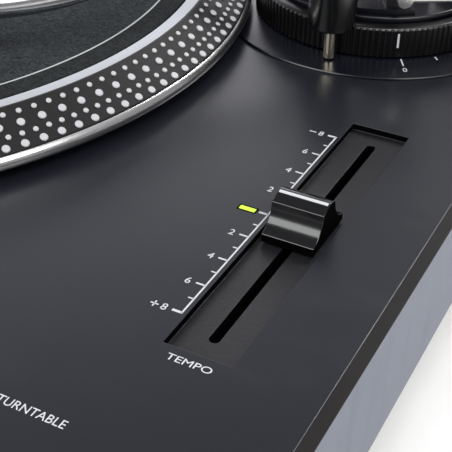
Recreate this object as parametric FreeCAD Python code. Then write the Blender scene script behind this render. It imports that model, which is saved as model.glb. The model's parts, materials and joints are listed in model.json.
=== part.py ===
"""A direct-drive turntable with an S-shaped tonearm, as separate pieces that bolt, slide and turn together.

Millimetres, +Z up. The origin is the centre of the footprint, on the surface the feet stand on.
+Y points to the back, so the player's front, with the start button and the tempo slider, faces -Y.
The arm's own pieces are drawn along +X at height zero, then turned and moved onto the arm's pivot.
"""

import FreeCAD
import Part

import math
import os

from FreeCAD import Vector

X_AXIS, Y_AXIS, Z_AXIS = Vector(1, 0, 0), Vector(0, 1, 0), Vector(0, 0, 1)
ORIGIN = Vector(0, 0, 0)

# --- Plinth -----------------------------------------------------------------
WIDTH, DEPTH = 450.0, 353.0
DECK = 80.0  # height of the deck's top surface
SHELL_HEIGHT = 45.0  # the shell's side, deck to lower edge
SHELL_BOTTOM = DECK - SHELL_HEIGHT
SHELL_WALL, DECK_THICK = 3.5, 4.0
DECK_UNDER = DECK - DECK_THICK
EDGE_BEVEL, CORNER_R = 3.1, 9.0
TRAY_BOTTOM, TRAY_FLOOR, TRAY_TOP, TRAY_WALL = 28.0, 31.0, 40.0, 3.0
TRAY_INSET = 6.0
SCREW_R, SCREW_HOLE_R = 1.5, 1.55
SHELL_BOSSES = [(-210, -60), (-210, 75), (210, -145), (210, 20), (100, -160), (-110, 160), (124, 160)]
BOSS_R = 4.5
RUNNING = 0.05  # radial clearance of a running fit

# --- Platter and motor ------------------------------------------------------
SPINDLE = (-44.5, 0.0)
PLATTER_R = 166.0
RIM_TOP, RIM_TOP_OUT, RIM_TOP_IN = DECK + 16.75, 151.1, 145.7
DOT_BAND_FOOT_R, DOT_BAND_FOOT = 164.96, DECK + 8.3
PLATTER_FACE, PLATTER_UNDER, PLATTER_FOOT = DECK + 14.0, DECK + 10.0, DECK + 3.0
BOSS_UNDER, ROTOR_BOSS_R = DECK, 46.0
WELL_R, WELL_FLOOR, WELL_UNDER, MOTOR_HOLE_R = 154.0, DECK - 9.0, DECK - 12.0, 52.0
MAT_TOP, MAT_R = DECK + 16.4, 145.2
SHAFT_R, PIN_R, PIN_TOP = 4.0, 3.575, DECK + 27.0
MAGNET_R, MAGNET_HOLE_R, MAGNET_UNDER = 43.0, 18.0, DECK - 6.0
COIL_COUNT, COIL_RADIUS = 9, 30.0

# --- Tempo slider -----------------------------------------------------------
SLIDER = (187.5, -60.0)
SLIDER_TRAVEL = 51.0  # each way
POCKET_X, POCKET_Y, POCKET_DEEP = (177.85, 197.4), (-123.2, 2.5), 2.3
SLOT_HALF, SLOT_WIDE = 55.4, 3.0

# --- Controls at the front left ---------------------------------------------
START = (-199.0, -152.0, 36.0, 24.0)  # centre, then width and depth
SPEED_33 = (-163.0, -159.0, 18.0, 10.0)
SPEED_45 = (-140.0, -159.0, 18.0, 10.0)
BUTTON_GAP, BUTTON_TRAVEL = 0.3, 1.2
BOARD_TOP, SWITCH_TOP = 61.6, 66.6
POWER = (-198.0, -108.0)
TOWER_R, DIAL_R = 12.12, 18.0
ADAPTER = (-198.0, 148.0)
ADAPTER_R, ADAPTER_TALL, ADAPTER_WELL = 19.0, 9.0, 6.0

# --- Tonearm ----------------------------------------------------------------
PIVOT = (150.5, 91.8)
STYLUS_TIP = MAT_TOP + 0.8
ARM_AXIS = STYLUS_TIP + 18.0
OVERHANG = 15.0
PIVOT_TO_SPINDLE = math.dist(PIVOT, SPINDLE)
ARM_LENGTH = PIVOT_TO_SPINDLE + OVERHANG
PLAY_RADIUS = 88.0  # where the stylus hovers at rest
OFFSET = 22.0  # the headshell's offset angle, degrees
TUBE_R, TUBE_WALL, BEND_R, BEND = 4.75, 0.75, 60.0, 24.0
HEADSHELL_TO_STYLUS = 52.0
BASE_PLATE_R, RING_R, RING_HOLE_R, COLUMN_R = 60.7, 48.0, 42.8, 42.0
RING_FOOT, RING_TOP = DECK + 2.6, DECK + 14.0
COLUMN_TOP = DECK + 16.0
REST = (152.5, 40.3)
SWING_IN, PARKED = -9.0, None  # PARKED is worked out below
LIFTER_R = 35.5
LEVER_ANGLE = -58.0
LEVER_AXIS = COLUMN_TOP + 8.5

# --- Feet and back panel ----------------------------------------------------
FEET = {"front_left": (-178, -128), "front_right": (178, -128), "back_left": (-178, 128), "back_right": (178, 128)}
STUD_R = 4.0
BAY_X, BAY_Z, BAY_Y = (-60.0, 90.0), (43.0, 65.0), (157.0, 173.0)
JACKS = (-44.0, -30.0)
JACK_Z = 54.0
HINGE_X = (-150.0, 150.0)


def arm_angle(radius):
    """Direction of the arm, in degrees, when the stylus stands at this distance from the spindle."""
    to_spindle = math.atan2(SPINDLE[1] - PIVOT[1], SPINDLE[0] - PIVOT[0])
    cosine = (PIVOT_TO_SPINDLE**2 + ARM_LENGTH**2 - radius**2) / (2 * PIVOT_TO_SPINDLE * ARM_LENGTH)
    return math.degrees(to_spindle + math.acos(cosine))


PLAY = arm_angle(PLAY_RADIUS)
PARKED = math.degrees(math.atan2(REST[1] - PIVOT[1], REST[0] - PIVOT[0])) - PLAY
MID = PLAY + (SWING_IN + PARKED) / 2  # middle of the swing, where the bridge stands square


# --- Drawing helpers --------------------------------------------------------
def box(x0, x1, y0, y1, z0, z1):
    return Part.makeBox(x1 - x0, y1 - y0, z1 - z0, Vector(x0, y0, z0))


def block(centre, z0, z1, grow=0.0):
    """Box about (x, y, width, depth), grown all round."""
    x, y, width, depth = centre
    return box(x - width / 2 - grow, x + width / 2 + grow, y - depth / 2 - grow, y + depth / 2 + grow, z0, z1)


def disc(radius, z0, z1, at=(0, 0)):
    return Part.makeCylinder(radius, z1 - z0, Vector(at[0], at[1], z0))


def ring(outer, inner, z0, z1, at=(0, 0)):
    return disc(outer, z0, z1, at).cut(disc(inner, z0 - 1, z1 + 1, at))


def rod(radius, start, end):
    """Round bar between two points."""
    run = end - start
    return Part.makeCylinder(radius, run.Length, start, run)


def slab(half_x, half_y, z0, z1, corner):
    """Rectangular plate with round corners, centred on the origin."""
    x, y, r = half_x, half_y, corner
    k = r * (1 - math.sqrt(0.5))
    arc, line = [], []
    for sx, sy in ((1, 1), (-1, 1), (-1, -1), (1, -1)):
        ends = [Vector(sx * x, sy * (y - r), z0), Vector(sx * (x - r), sy * y, z0)]
        if sx * sy < 0:
            ends.reverse()
        arc.append((ends[0], Vector(sx * (x - k), sy * (y - k), z0), ends[1]))
    for here, following in zip(arc, arc[1:] + arc[:1]):
        line.append(Part.Arc(*here).toShape())
        line.append(Part.LineSegment(here[2], following[0]).toShape())
    return Part.Face(Part.Wire(line)).extrude(Vector(0, 0, z1 - z0))


def turned(profile, at=(0, 0)):
    """Solid of revolution about Z. A profile point is (radius, z); a triple in place of one is an arc's middle."""
    edges, here = [], Vector(profile[0][0], 0, profile[0][1])
    first, middle = here, None
    for point in profile[1:] + [profile[0]]:
        there = Vector(point[0], 0, point[1])
        if len(point) == 3:
            middle = there
            continue
        if middle is None:
            edges.append(Part.LineSegment(here, there).toShape())
        else:
            edges.append(Part.Arc(here, middle, there).toShape())
            middle = None
        here = there
    solid = Part.Face(Part.Wire(edges)).revolve(first * 0, Z_AXIS, 360)
    solid.translate(Vector(at[0], at[1], 0))
    return solid


def polar(radius, degrees, centre=(0, 0)):
    angle = math.radians(degrees)
    return centre[0] + radius * math.cos(angle), centre[1] + radius * math.sin(angle)


def spin(shape, degrees, about=(0, 0)):
    shape.rotate(Vector(about[0], about[1], 0), Z_AXIS, degrees)
    return shape


def on_arm(shape, angle=PLAY):
    """Turns a shape drawn along +X at height zero onto the arm's pivot."""
    shape.rotate(ORIGIN, Z_AXIS, angle)
    shape.translate(Vector(PIVOT[0], PIVOT[1], ARM_AXIS))
    return shape


def on_base(shape, angle=0.0):
    """Turns a shape drawn about the arm's upright axis, at its true height, onto that axis."""
    shape.rotate(ORIGIN, Z_AXIS, angle)
    shape.translate(Vector(PIVOT[0], PIVOT[1], 0))
    return shape


def joined(first, *others):
    for other in others:
        first = first.fuse(other)
    return first.removeSplitter()


def group(shapes):
    return Part.makeCompound(list(shapes))


def level_edges(shape, z):
    """The edges that lie at one height."""
    return [e for e in shape.Edges if abs(e.BoundBox.ZMin - z) < 1e-4 and abs(e.BoundBox.ZMax - z) < 1e-4]


# --- Plinth -----------------------------------------------------------------
def top_shell():
    outer = slab(WIDTH / 2, DEPTH / 2, SHELL_BOTTOM, DECK, CORNER_R)
    outer = outer.makeChamfer(EDGE_BEVEL, level_edges(outer, DECK))
    outer = outer.makeFillet(2.0, level_edges(outer, SHELL_BOTTOM))
    inside = slab(WIDTH / 2 - SHELL_WALL, DEPTH / 2 - SHELL_WALL, SHELL_BOTTOM - 1, DECK_UNDER, CORNER_R - SHELL_WALL)
    shell = outer.cut(inside)
    posts = [disc(BOSS_R, TRAY_FLOOR, DECK_UNDER, at) for at in SHELL_BOSSES]
    board_posts = [disc(3.0, BOARD_TOP, DECK_UNDER, at) for at in ((-176.5, -142), (-176.5, -163), (-134, -146))]
    pans = [disc(WELL_R + 3, WELL_UNDER, DECK_UNDER, SPINDLE), disc(ADAPTER_R + 4, DECK - 8.5, DECK_UNDER, ADAPTER)]
    shell = joined(shell, *pans, *posts, *board_posts)
    slot = SLOT_WIDE / 2
    slot_end = SLOT_HALF - slot
    cuts = [
        disc(WELL_R, WELL_FLOOR, DECK + 1, SPINDLE),
        disc(MOTOR_HOLE_R, WELL_UNDER - 1, WELL_FLOOR + 1, SPINDLE),
        disc(ADAPTER_R + 0.6, DECK - ADAPTER_WELL, DECK + 1, ADAPTER),
        disc(COLUMN_R + 2, DECK_UNDER - 1, DECK + 1, PIVOT),
        box(*POCKET_X, *POCKET_Y, DECK - POCKET_DEEP, DECK + 1),
        box(SLIDER[0] - slot, SLIDER[0] + slot, SLIDER[1] - slot_end, SLIDER[1] + slot_end, DECK_UNDER - 1, DECK),
        disc(slot, DECK_UNDER - 1, DECK, (SLIDER[0], SLIDER[1] - slot_end)),
        disc(slot, DECK_UNDER - 1, DECK, (SLIDER[0], SLIDER[1] + slot_end)),
        led_lens_outline(DECK_UNDER - 1, DECK + 1),
        disc(14.4, DECK_UNDER - 1, DECK + 1, POWER),
        box(BAY_X[0] + 2, BAY_X[1] - 2, BAY_Y[1] - 1, DEPTH / 2 + 1, BAY_Z[0] + 2, BAY_Z[1] - 2),
    ]
    cuts += [block(key, DECK_UNDER - 1, DECK + 1, BUTTON_GAP) for key in (START, SPEED_33, SPEED_45)]
    cuts += [box(x - 16, x + 16, 161, 173, DECK_UNDER - 1, DECK + 1) for x in HINGE_X]
    cuts += [disc(SCREW_HOLE_R, TRAY_FLOOR - 1, TRAY_FLOOR + 16, at) for at in SHELL_BOSSES]
    cuts += [disc(SCREW_HOLE_R, WELL_UNDER - 1, WELL_UNDER + 2.5, at) for at in motor_screw_places()]
    return shell.cut(cuts)


def motor_screw_places():
    return [polar(55.0, 45 + 90 * i, SPINDLE) for i in range(4)]


def base_tray():
    half_x, half_y = WIDTH / 2 - TRAY_INSET, DEPTH / 2 - TRAY_INSET
    outer = slab(half_x, half_y, TRAY_BOTTOM, TRAY_TOP, 6)
    outer = outer.makeChamfer(1.5, level_edges(outer, TRAY_BOTTOM))
    tray = outer.cut(slab(half_x - TRAY_WALL, half_y - TRAY_WALL, TRAY_FLOOR, TRAY_TOP + 1, 3))
    sockets = [disc(9, TRAY_FLOOR, TRAY_FLOOR + 15, at) for at in FEET.values()]
    standoffs = [disc(3, TRAY_FLOOR, 36.4, at) for at in main_board_corners()]
    standoffs += [disc(3, TRAY_FLOOR, BOARD_TOP - 1.6, at) for at in ((-210, -166), (-134, -166))]
    tray = joined(tray, *sockets, *standoffs)
    cuts = [disc(STUD_R + RUNNING, TRAY_BOTTOM - 1, TRAY_FLOOR + 16, at) for at in FEET.values()]
    cuts += [disc(SCREW_HOLE_R + 0.2, TRAY_BOTTOM - 1, TRAY_FLOOR + 1, at) for at in SHELL_BOSSES]
    cuts += [disc(3.6, TRAY_BOTTOM - 1, TRAY_BOTTOM + 1.6, at) for at in SHELL_BOSSES]
    return tray.cut(cuts)


def case_screws():
    """The screws that close the case from below, and the four that hold the motor frame."""
    screws = []
    for at in SHELL_BOSSES:
        screws.append(disc(3.2, TRAY_BOTTOM + 0.2, TRAY_BOTTOM + 1.6, at).fuse(
            disc(SCREW_R, TRAY_BOTTOM + 1, TRAY_FLOOR + 12, at)))
    for at in motor_screw_places():
        screws.append(disc(3.0, WELL_UNDER - 5, WELL_UNDER - 3, at).fuse(
            disc(SCREW_R, WELL_UNDER - 4, WELL_UNDER + 2, at)))
    return group(screws)


def foot(at):
    cup = turned([(0, 4), (23.5, 4), (26.4, 8), (27.0, 12), (26.4, 17), (24.0, 20.5), (21.5, 22), (STUD_R, 22),
                  (STUD_R, 42), (0, 42)], at)
    pad = turned([(0, 0), (21.5, 0), (22.5, 1), (22.5, 4), (0, 4)], at)
    return group([cup, pad])


# --- Motor and platter ------------------------------------------------------
def motor_frame():
    plate = disc(58, WELL_UNDER - 3, WELL_UNDER, SPINDLE)
    holes = [disc(SCREW_HOLE_R, 0, DECK, at) for at in motor_screw_places()]
    lightening = [disc(9, 0, DECK, polar(34, 60 * i, SPINDLE)) for i in range(6)]
    return plate.cut([disc(9, 0, DECK, SPINDLE)] + holes + lightening)


def bearing_housing():
    """Oil-bronze sleeve with a closed foot, and the thrust pad that the shaft turns on."""
    sleeve = turned([(0, 42), (9, 42), (9, 62), (14, 62), (14, 65), (9, 65), (9, 74), (SHAFT_R + RUNNING, 74),
                     (SHAFT_R + RUNNING, 45), (0, 45)], SPINDLE)
    return group([sleeve, disc(3.8, 45, 46, SPINDLE)])


def motor_board():
    return ring(50, 10.5, WELL_UNDER, WELL_UNDER + 1.6, SPINDLE)


def stator_coils():
    low = WELL_UNDER + 1.6
    return group(ring(9, 4, low, low + 3, polar(COIL_RADIUS, 360 / COIL_COUNT * i, SPINDLE)) for i in range(COIL_COUNT))


def rotor_magnet():
    return ring(MAGNET_R, MAGNET_HOLE_R, MAGNET_UNDER, BOSS_UNDER, SPINDLE)


def spindle():
    shoulder = MAT_TOP - 0.1
    return turned([(0, 46.05), (SHAFT_R, 46.05), (SHAFT_R, 76), (9, 76), (9, BOSS_UNDER), (SHAFT_R, BOSS_UNDER),
                   (SHAFT_R, shoulder), (PIN_R, shoulder), (PIN_R, PIN_TOP), (2.7, PIN_TOP + 1.9, "arc"),
                   (0.8, PIN_TOP + 3), (0, PIN_TOP + 3)], SPINDLE)


def platter():
    profile = [
        (SHAFT_R, BOSS_UNDER), (ROTOR_BOSS_R, BOSS_UNDER), (ROTOR_BOSS_R, PLATTER_UNDER), (118, PLATTER_UNDER),
        (118, DECK + 5), (123, DECK + 5), (123, PLATTER_UNDER), (149, PLATTER_UNDER), (158.5, PLATTER_FOOT),
        (164.6, PLATTER_FOOT), (PLATTER_R, DECK + 5.6, "arc"), (DOT_BAND_FOOT_R, DOT_BAND_FOOT),
        (RIM_TOP_OUT, RIM_TOP), (RIM_TOP_IN, RIM_TOP), (RIM_TOP_IN, PLATTER_FACE), (SHAFT_R, PLATTER_FACE),
    ]
    return turned(profile, SPINDLE)


def slipmat():
    return ring(MAT_R, SHAFT_R + 0.2, PLATTER_FACE, MAT_TOP, SPINDLE)


# --- Tempo slider -----------------------------------------------------------
def led_lens_outline(z0, z1):
    """Small oblong with round ends beside the scale's zero."""
    return joined(box(168.1, 171.4, -61.2, -59.3, z0, z1), disc(0.95, z0, z1, (168.1, -60.25)),
                  disc(0.95, z0, z1, (171.4, -60.25)))


def tempo_led():
    return led_lens_outline(DECK_UNDER - 3, DECK + 0.15)


def fader_body():
    x, y = SLIDER
    body = box(x - 6, x + 6, y - 64, y + 64, DECK_UNDER - 13, DECK_UNDER)
    return body.cut(box(x - 2, x + 2, y - 58, y + 58, DECK_UNDER - 9, DECK_UNDER + 1))


def fader_stem():
    x, y = SLIDER
    return box(x - 1.1, x + 1.1, y - 2.5, y + 2.5, DECK_UNDER - 7, DECK + 6)


def tempo_knob():
    """Saddle-shaped cap with a crest across the middle and a hollow for a fingertip on each side."""
    x, y = SLIDER
    foot_z, lip, crest = DECK - 1.7, DECK + 1.2, DECK + 9.3
    front, back, crest_front, crest_back = y - 11.0, y + 10.5, y - 4.2, y + 3.6
    left = x - 8.1

    def at(py, pz):
        return Vector(left, py, pz)

    hollow = (crest - lip) * (1 - math.sqrt(0.5))
    edges = [
        Part.LineSegment(at(front, foot_z), at(front, lip)),
        Part.Arc(at(front, lip), at(crest_front - 2.0, lip + hollow), at(crest_front, crest)),
        Part.Arc(at(crest_front, crest), at(y - 0.3, DECK + 10.0), at(crest_back, crest)),
        Part.Arc(at(crest_back, crest), at(crest_back + 2.0, lip + hollow), at(back, lip)),
        Part.LineSegment(at(back, lip), at(back, foot_z)),
        Part.LineSegment(at(back, foot_z), at(front, foot_z)),
    ]
    cap = Part.Face(Part.Wire([e.toShape() for e in edges])).extrude(Vector(16.2, 0, 0))
    return cap.cut(box(x - 1.1, x + 1.1, y - 2.5, y + 2.5, foot_z - 1, DECK + 6))


# --- Buttons, power dial and adapter ----------------------------------------
def button(key):
    cap = block(key, DECK_UNDER - 1.5, DECK + 2.0)
    cap = cap.makeFillet(0.8, level_edges(cap, DECK + 2.0))
    flange = block(key, DECK_UNDER - 3.0, DECK_UNDER - 1.5, 1.2)
    stem = disc(2.5, SWITCH_TOP + BUTTON_TRAVEL + 0.2, DECK_UNDER - 3.0, key[:2])
    return joined(cap, flange, stem)


def control_board():
    """Circuit board under the keys, with one small switch below each."""
    board = box(-217, -128, -167, -138, BOARD_TOP - 1.6, BOARD_TOP)
    switches = [block((key[0], key[1], 8, 8), BOARD_TOP, SWITCH_TOP) for key in (START, SPEED_33, SPEED_45)]
    return joined(board, *switches)


def power_switch():
    body = block((POWER[0], POWER[1], 26, 26), TRAY_FLOOR, 58)
    return joined(body, disc(9, 58, 62, POWER))


def strobe_tower():
    """Fixed turret inside the power dial, with a lamp window that looks at the platter's edge."""
    tower = disc(TOWER_R, 62, DECK + 21, POWER)
    tower = tower.makeChamfer(1.2, level_edges(tower, DECK + 21))
    return tower.cut(strobe_window_box(0.0))


def strobe_window_box(inset):
    window = box(5.2, 13.0 - inset, -5.0 + inset, 5.0 - inset, DECK + 12.5 + inset, DECK + 19.0 - inset)
    window.translate(Vector(POWER[0], POWER[1], 0))
    toward = math.degrees(math.atan2(SPINDLE[1] - POWER[1], SPINDLE[0] - POWER[0]))
    return spin(window, toward, POWER)


def strobe_window():
    return strobe_window_box(0.0).common(disc(TOWER_R - 0.3, DECK + 10, DECK + 20, POWER))


def power_dial():
    return turned([(12.2, 66), (14.0, 66), (14.0, DECK + 0.5), (DIAL_R, DECK + 0.5), (DIAL_R, DECK + 8.5),
                   (DIAL_R - 1.5, DECK + 10.0), (12.2, DECK + 10.0)], POWER)


def adapter_45():
    low = DECK - ADAPTER_WELL
    return turned([(3.65, low), (ADAPTER_R, low), (ADAPTER_R, low + ADAPTER_TALL - 2),
                   (ADAPTER_R - 3, low + ADAPTER_TALL), (3.65, low + ADAPTER_TALL)], ADAPTER)


# --- Electronics and back panel ---------------------------------------------
def main_board_corners():
    return [(-146, 66), (-34, 66), (-146, 134), (-34, 134)]


def main_board():
    board = box(-150, -30, 62, 138, 36.4, 38.0)
    parts = [box(-140, -110, 80, 104, 38, 50), box(-70, -44, 100, 122, 38, 40.5), box(-60, -40, 74, 86, 38, 46)]
    capacitors = [disc(5.5, 38, 56, (-96 + 14 * i, 78)) for i in range(3)]
    return joined(board, *parts, *capacitors)


def transformer():
    core = box(104, 158, 106, 146, TRAY_FLOOR, 64)
    coil = box(112, 150, 97, 155, 38.5, 56.5)
    return joined(core, coil)


def terminal_panel():
    """Recessed connector bay in the back."""
    y0, y1 = BAY_Y
    bay = box(*BAY_X, y0, y1, *BAY_Z)
    bay = bay.cut(box(BAY_X[0] + 2, BAY_X[1] - 2, y0 + 2, y1 + 1, BAY_Z[0] + 2, BAY_Z[1] - 2))
    holes = [rod(4.2, Vector(x, y0 - 1, JACK_Z), Vector(x, y0 + 3, JACK_Z)) for x in JACKS]
    holes.append(rod(2.0, Vector(-12, y0 - 1, JACK_Z), Vector(-12, y0 + 3, JACK_Z)))
    holes.append(box(4, 12, y0 - 1, y0 + 3, JACK_Z - 1.6, JACK_Z + 1.6))
    holes.append(box(60, 82, y0 - 1, y0 + 3, JACK_Z - 5.5, JACK_Z + 5.5))
    return bay.cut(holes)


def rca_jacks():
    y0 = BAY_Y[0]
    jacks = []
    for x in JACKS:
        body = rod(4.2, Vector(x, y0 - 8, JACK_Z), Vector(x, y0 + 12, JACK_Z))
        nut = rod(6.0, Vector(x, y0 + 2, JACK_Z), Vector(x, y0 + 3.5, JACK_Z))
        jacks.append(joined(body, nut).cut(rod(1.6, Vector(x, y0 + 2, JACK_Z), Vector(x, y0 + 13, JACK_Z))))
    return group(jacks)


def ground_screw():
    y0 = BAY_Y[0]
    shank = rod(1.95, Vector(-12, y0 - 6, JACK_Z), Vector(-12, y0 + 4, JACK_Z))
    return joined(shank, rod(4.5, Vector(-12, y0 + 4, JACK_Z), Vector(-12, y0 + 11, JACK_Z)))


def output_switch():
    """Small slide switch: its body stands behind the panel, its nib comes through."""
    y0 = BAY_Y[0]
    return box(4.4, 7.4, y0 - 3, y0 + 4.5, JACK_Z - 1.3, JACK_Z + 1.3)


def power_inlet():
    y0 = BAY_Y[0]
    body = box(60, 82, y0 - 14, y0 + 2, JACK_Z - 5.5, JACK_Z + 5.5)
    flange = box(56, 86, y0 + 2, y0 + 3.2, JACK_Z - 7.5, JACK_Z + 7.5)
    inlet = joined(body, flange)
    mouth = [rod(3.8, Vector(x, y0 - 10, JACK_Z), Vector(x, y0 + 4, JACK_Z)) for x in (67.2, 74.8)]
    mouth.append(box(67.2, 74.8, y0 - 10, y0 + 4, JACK_Z - 3.8, JACK_Z + 3.8))
    pins = [rod(1.2, Vector(x, y0 - 11, JACK_Z), Vector(x, y0 + 0.5, JACK_Z)) for x in (67.2, 74.8)]
    return joined(inlet.cut(mouth), *pins)


def hinge_sockets():
    """Upright pockets that take the dust cover's two hinges."""
    sockets = []
    for x in HINGE_X:
        body = box(x - 16, x + 16, 161, 173, 52, DECK)
        sockets.append(body.cut(box(x - 11, x + 11, 163.5, 170.5, 56, DECK + 1)))
    return group(sockets)


# --- Tonearm base -----------------------------------------------------------
def arm_base_plate():
    return turned([(RING_HOLE_R + 0.4, DECK), (BASE_PLATE_R, DECK), (BASE_PLATE_R, DECK + 0.7),
                   (BASE_PLATE_R - 0.4, DECK + 1.0), (RING_R + 0.6, DECK + 2.2), (RING_HOLE_R + 0.4, DECK + 2.2)], PIVOT)


def height_ring():
    return turned([(RING_HOLE_R, RING_FOOT), (RING_R, RING_FOOT), (RING_R, RING_TOP - 0.8),
                   (RING_R - 0.8, RING_TOP), (RING_HOLE_R, RING_TOP)], PIVOT)


def rest_post():
    return disc(2.2, DECK + 2.2, DECK + 14.8, REST).fuse(disc(3.0, DECK + 2.2, DECK + 2.9, REST))


CLIP_HINGE = ARM_AXIS + 6.3


def rest_block():
    """Cradle for the parked arm: open towards the platter, with a wall behind that carries the clip."""
    x, y = REST
    low, seat, top = DECK + 14.8, ARM_AXIS - TUBE_R - 0.85, ARM_AXIS + 8.3
    body = disc(8.7, low, top, REST)
    body = body.makeFillet(1.2, level_edges(body, low))
    hinge_hole = rod(1.0 + RUNNING, Vector(x + 7.15, y - 10, CLIP_HINGE), Vector(x + 7.15, y + 10, CLIP_HINGE))
    return body.cut([box(x - 10, x + 5.6, y - 10, y + 10, seat, top + 1),
                     box(x + 5, x + 10, y - 3.2, y + 3.2, CLIP_HINGE - 2, top + 1), hinge_hole])


def rest_clip():
    """Clip that folds over the parked arm; drawn standing open."""
    x, y = REST[0] + 7.15, REST[1]
    pin = rod(1.0, Vector(x, y - 5.2, CLIP_HINGE), Vector(x, y + 5.2, CLIP_HINGE))
    knuckle = rod(1.5, Vector(x, y - 2.9, CLIP_HINGE), Vector(x, y + 2.9, CLIP_HINGE))
    blade = box(x - 0.75, x + 0.75, y - 2.9, y + 2.9, CLIP_HINGE, CLIP_HINGE + 15)
    hook = box(x - 4.2, x + 0.75, y - 2.9, y + 2.9, CLIP_HINGE + 13.5, CLIP_HINGE + 15)
    return joined(pin, knuckle, blade, hook)


def arm_column():
    column = ring(COLUMN_R, COLUMN_R - 2.6, DECK - 14, COLUMN_TOP - 3)
    top = disc(COLUMN_R, COLUMN_TOP - 3, COLUMN_TOP)
    top = top.makeChamfer(0.6, level_edges(top, COLUMN_TOP))
    boss = disc(6, COLUMN_TOP, COLUMN_TOP + 2.5)
    holes = [disc(1.5 + RUNNING, 0, 200), disc(2.6, 0, 200, polar(LIFTER_R, MID))]
    return on_base(joined(column, top, boss).cut(holes))


def gimbal_bridge():
    """Arch over the gimbal, square to the middle of the arm's swing, with the upper pivot bearing."""
    top = ARM_AXIS + 22
    posts = [box(-4.5, 4.5, s - 2, s + 2, COLUMN_TOP, top) for s in (-22.5, 22.5)]
    beam = box(-4.5, 4.5, -24.5, 24.5, top - 4.5, top)
    bridge = joined(beam, *posts)
    corners = [e for e in bridge.Edges if abs(abs(e.CenterOfMass.y) - 24.5) < 1e-3 and abs(e.CenterOfMass.z - top) < 1e-3]
    bridge = bridge.makeFillet(3.0, corners)
    nut = disc(4.2, top, top + 2.4)
    return on_base(joined(bridge, nut).cut(disc(1.5 + RUNNING, top - 5, ARM_AXIS + 20.2)), MID)


def anti_skate_housing():
    return on_base(disc(8.3, COLUMN_TOP, COLUMN_TOP + 2.2, polar(33, 2)))


def anti_skate_dial():
    low = COLUMN_TOP + 2.5
    return on_base(turned([(0, low), (8.5, low), (8.5, low + 4.6), (7.7, low + 5.4), (0, low + 5.4)], polar(33, 2)))


def cue_housing():
    """Curved foot that holds the lifter's guide tube and the cue lever's bracket."""
    foot_band = ring(39.6, 31.4, COLUMN_TOP, COLUMN_TOP + 2)
    wedge_points = [ORIGIN] + [Vector(*polar(80, a), 0) for a in (MID - 7, (MID + LEVER_ANGLE) / 2, LEVER_ANGLE + 9)]
    wedge = Part.Face(Part.makePolygon(wedge_points + [ORIGIN])).extrude(Vector(0, 0, 200))
    foot_band = foot_band.common(wedge)
    guide = disc(4.0, COLUMN_TOP, COLUMN_TOP + 7, polar(LIFTER_R, MID))
    bracket = spin(box(29, 38, -4.5, 4.5, COLUMN_TOP, LEVER_AXIS + 4.5), LEVER_ANGLE)
    bracket_hole = spin(rod(1.5 + RUNNING, Vector(20, 0, LEVER_AXIS), Vector(50, 0, LEVER_AXIS)), LEVER_ANGLE)
    guide_hole = disc(2.2 + RUNNING, 0, 200, polar(LIFTER_R, MID))
    return on_base(joined(foot_band, guide, bracket).cut([bracket_hole, guide_hole]))


def cue_lever():
    shaft = rod(1.5, Vector(28, 0, LEVER_AXIS), Vector(47, 0, LEVER_AXIS))
    bar = rod(1.3, Vector(45.5, 0, LEVER_AXIS), Vector(45.5, 24, LEVER_AXIS))
    knob = rod(3.0, Vector(45.5, 22, LEVER_AXIS), Vector(45.5, 31, LEVER_AXIS))
    hub = rod(2.8, Vector(43.6, 0, LEVER_AXIS), Vector(47.4, 0, LEVER_AXIS))
    return on_base(joined(shaft, hub, bar, knob), LEVER_ANGLE)


def lift_platform():
    """Curved bar under the arm on a plunger: it raises the arm wherever it stands in its swing."""
    top = ARM_AXIS - TUBE_R - 0.6
    band = ring(39.5, 34.5, top - 3, top)
    spread = (PARKED - SWING_IN) / 2 + 10
    wedge_points = [ORIGIN] + [Vector(*polar(90, MID + a), 0) for a in (-spread, -spread / 3, spread / 3, spread)]
    wedge = Part.Face(Part.makePolygon(wedge_points + [ORIGIN])).extrude(Vector(0, 0, 200))
    plunger = disc(2.2, COLUMN_TOP - 10, top - 3, polar(LIFTER_R, MID))
    return on_base(joined(band.common(wedge), plunger))


# --- Tonearm ----------------------------------------------------------------
def gimbal_ring():
    body = box(-4.5, 4.5, -17, 17, -15, 15)
    long_edges = [e for e in body.Edges if e.BoundBox.XLength > 8]
    body = body.makeFillet(4.0, long_edges).cut(box(-6, 6, -12.5, 12.5, -11, 11))
    body = joined(body, disc(1.5, -20, -15), disc(1.5, 15, 20))
    return on_arm(body.cut(rod(1.5 + RUNNING, Vector(0, -20, 0), Vector(0, 20, 0))))


def pivot_axle():
    return on_arm(rod(1.5, Vector(0, -16.6, 0), Vector(0, 16.6, 0)))


def pivot_block():
    body = box(-13, 14, -8, 8, -7.5, 7.5)
    body = body.makeFillet(2.0, [e for e in body.Edges if e.BoundBox.XLength > 20])
    return on_arm(body.cut(rod(1.5, Vector(0, -10, 0), Vector(0, 10, 0))))


def heading(degrees):
    return Vector(math.cos(math.radians(degrees)), math.sin(math.radians(degrees)), 0)


def along_headshell(distance, side=0.0, height=0.0):
    """Point in the arm's own frame, measured from the tube's front end along the headshell's axis."""
    end = Vector(ARM_LENGTH, 0, 0) - heading(-OFFSET) * HEADSHELL_TO_STYLUS
    return end + heading(-OFFSET) * distance + heading(90 - OFFSET) * side + Vector(0, 0, height)


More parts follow.
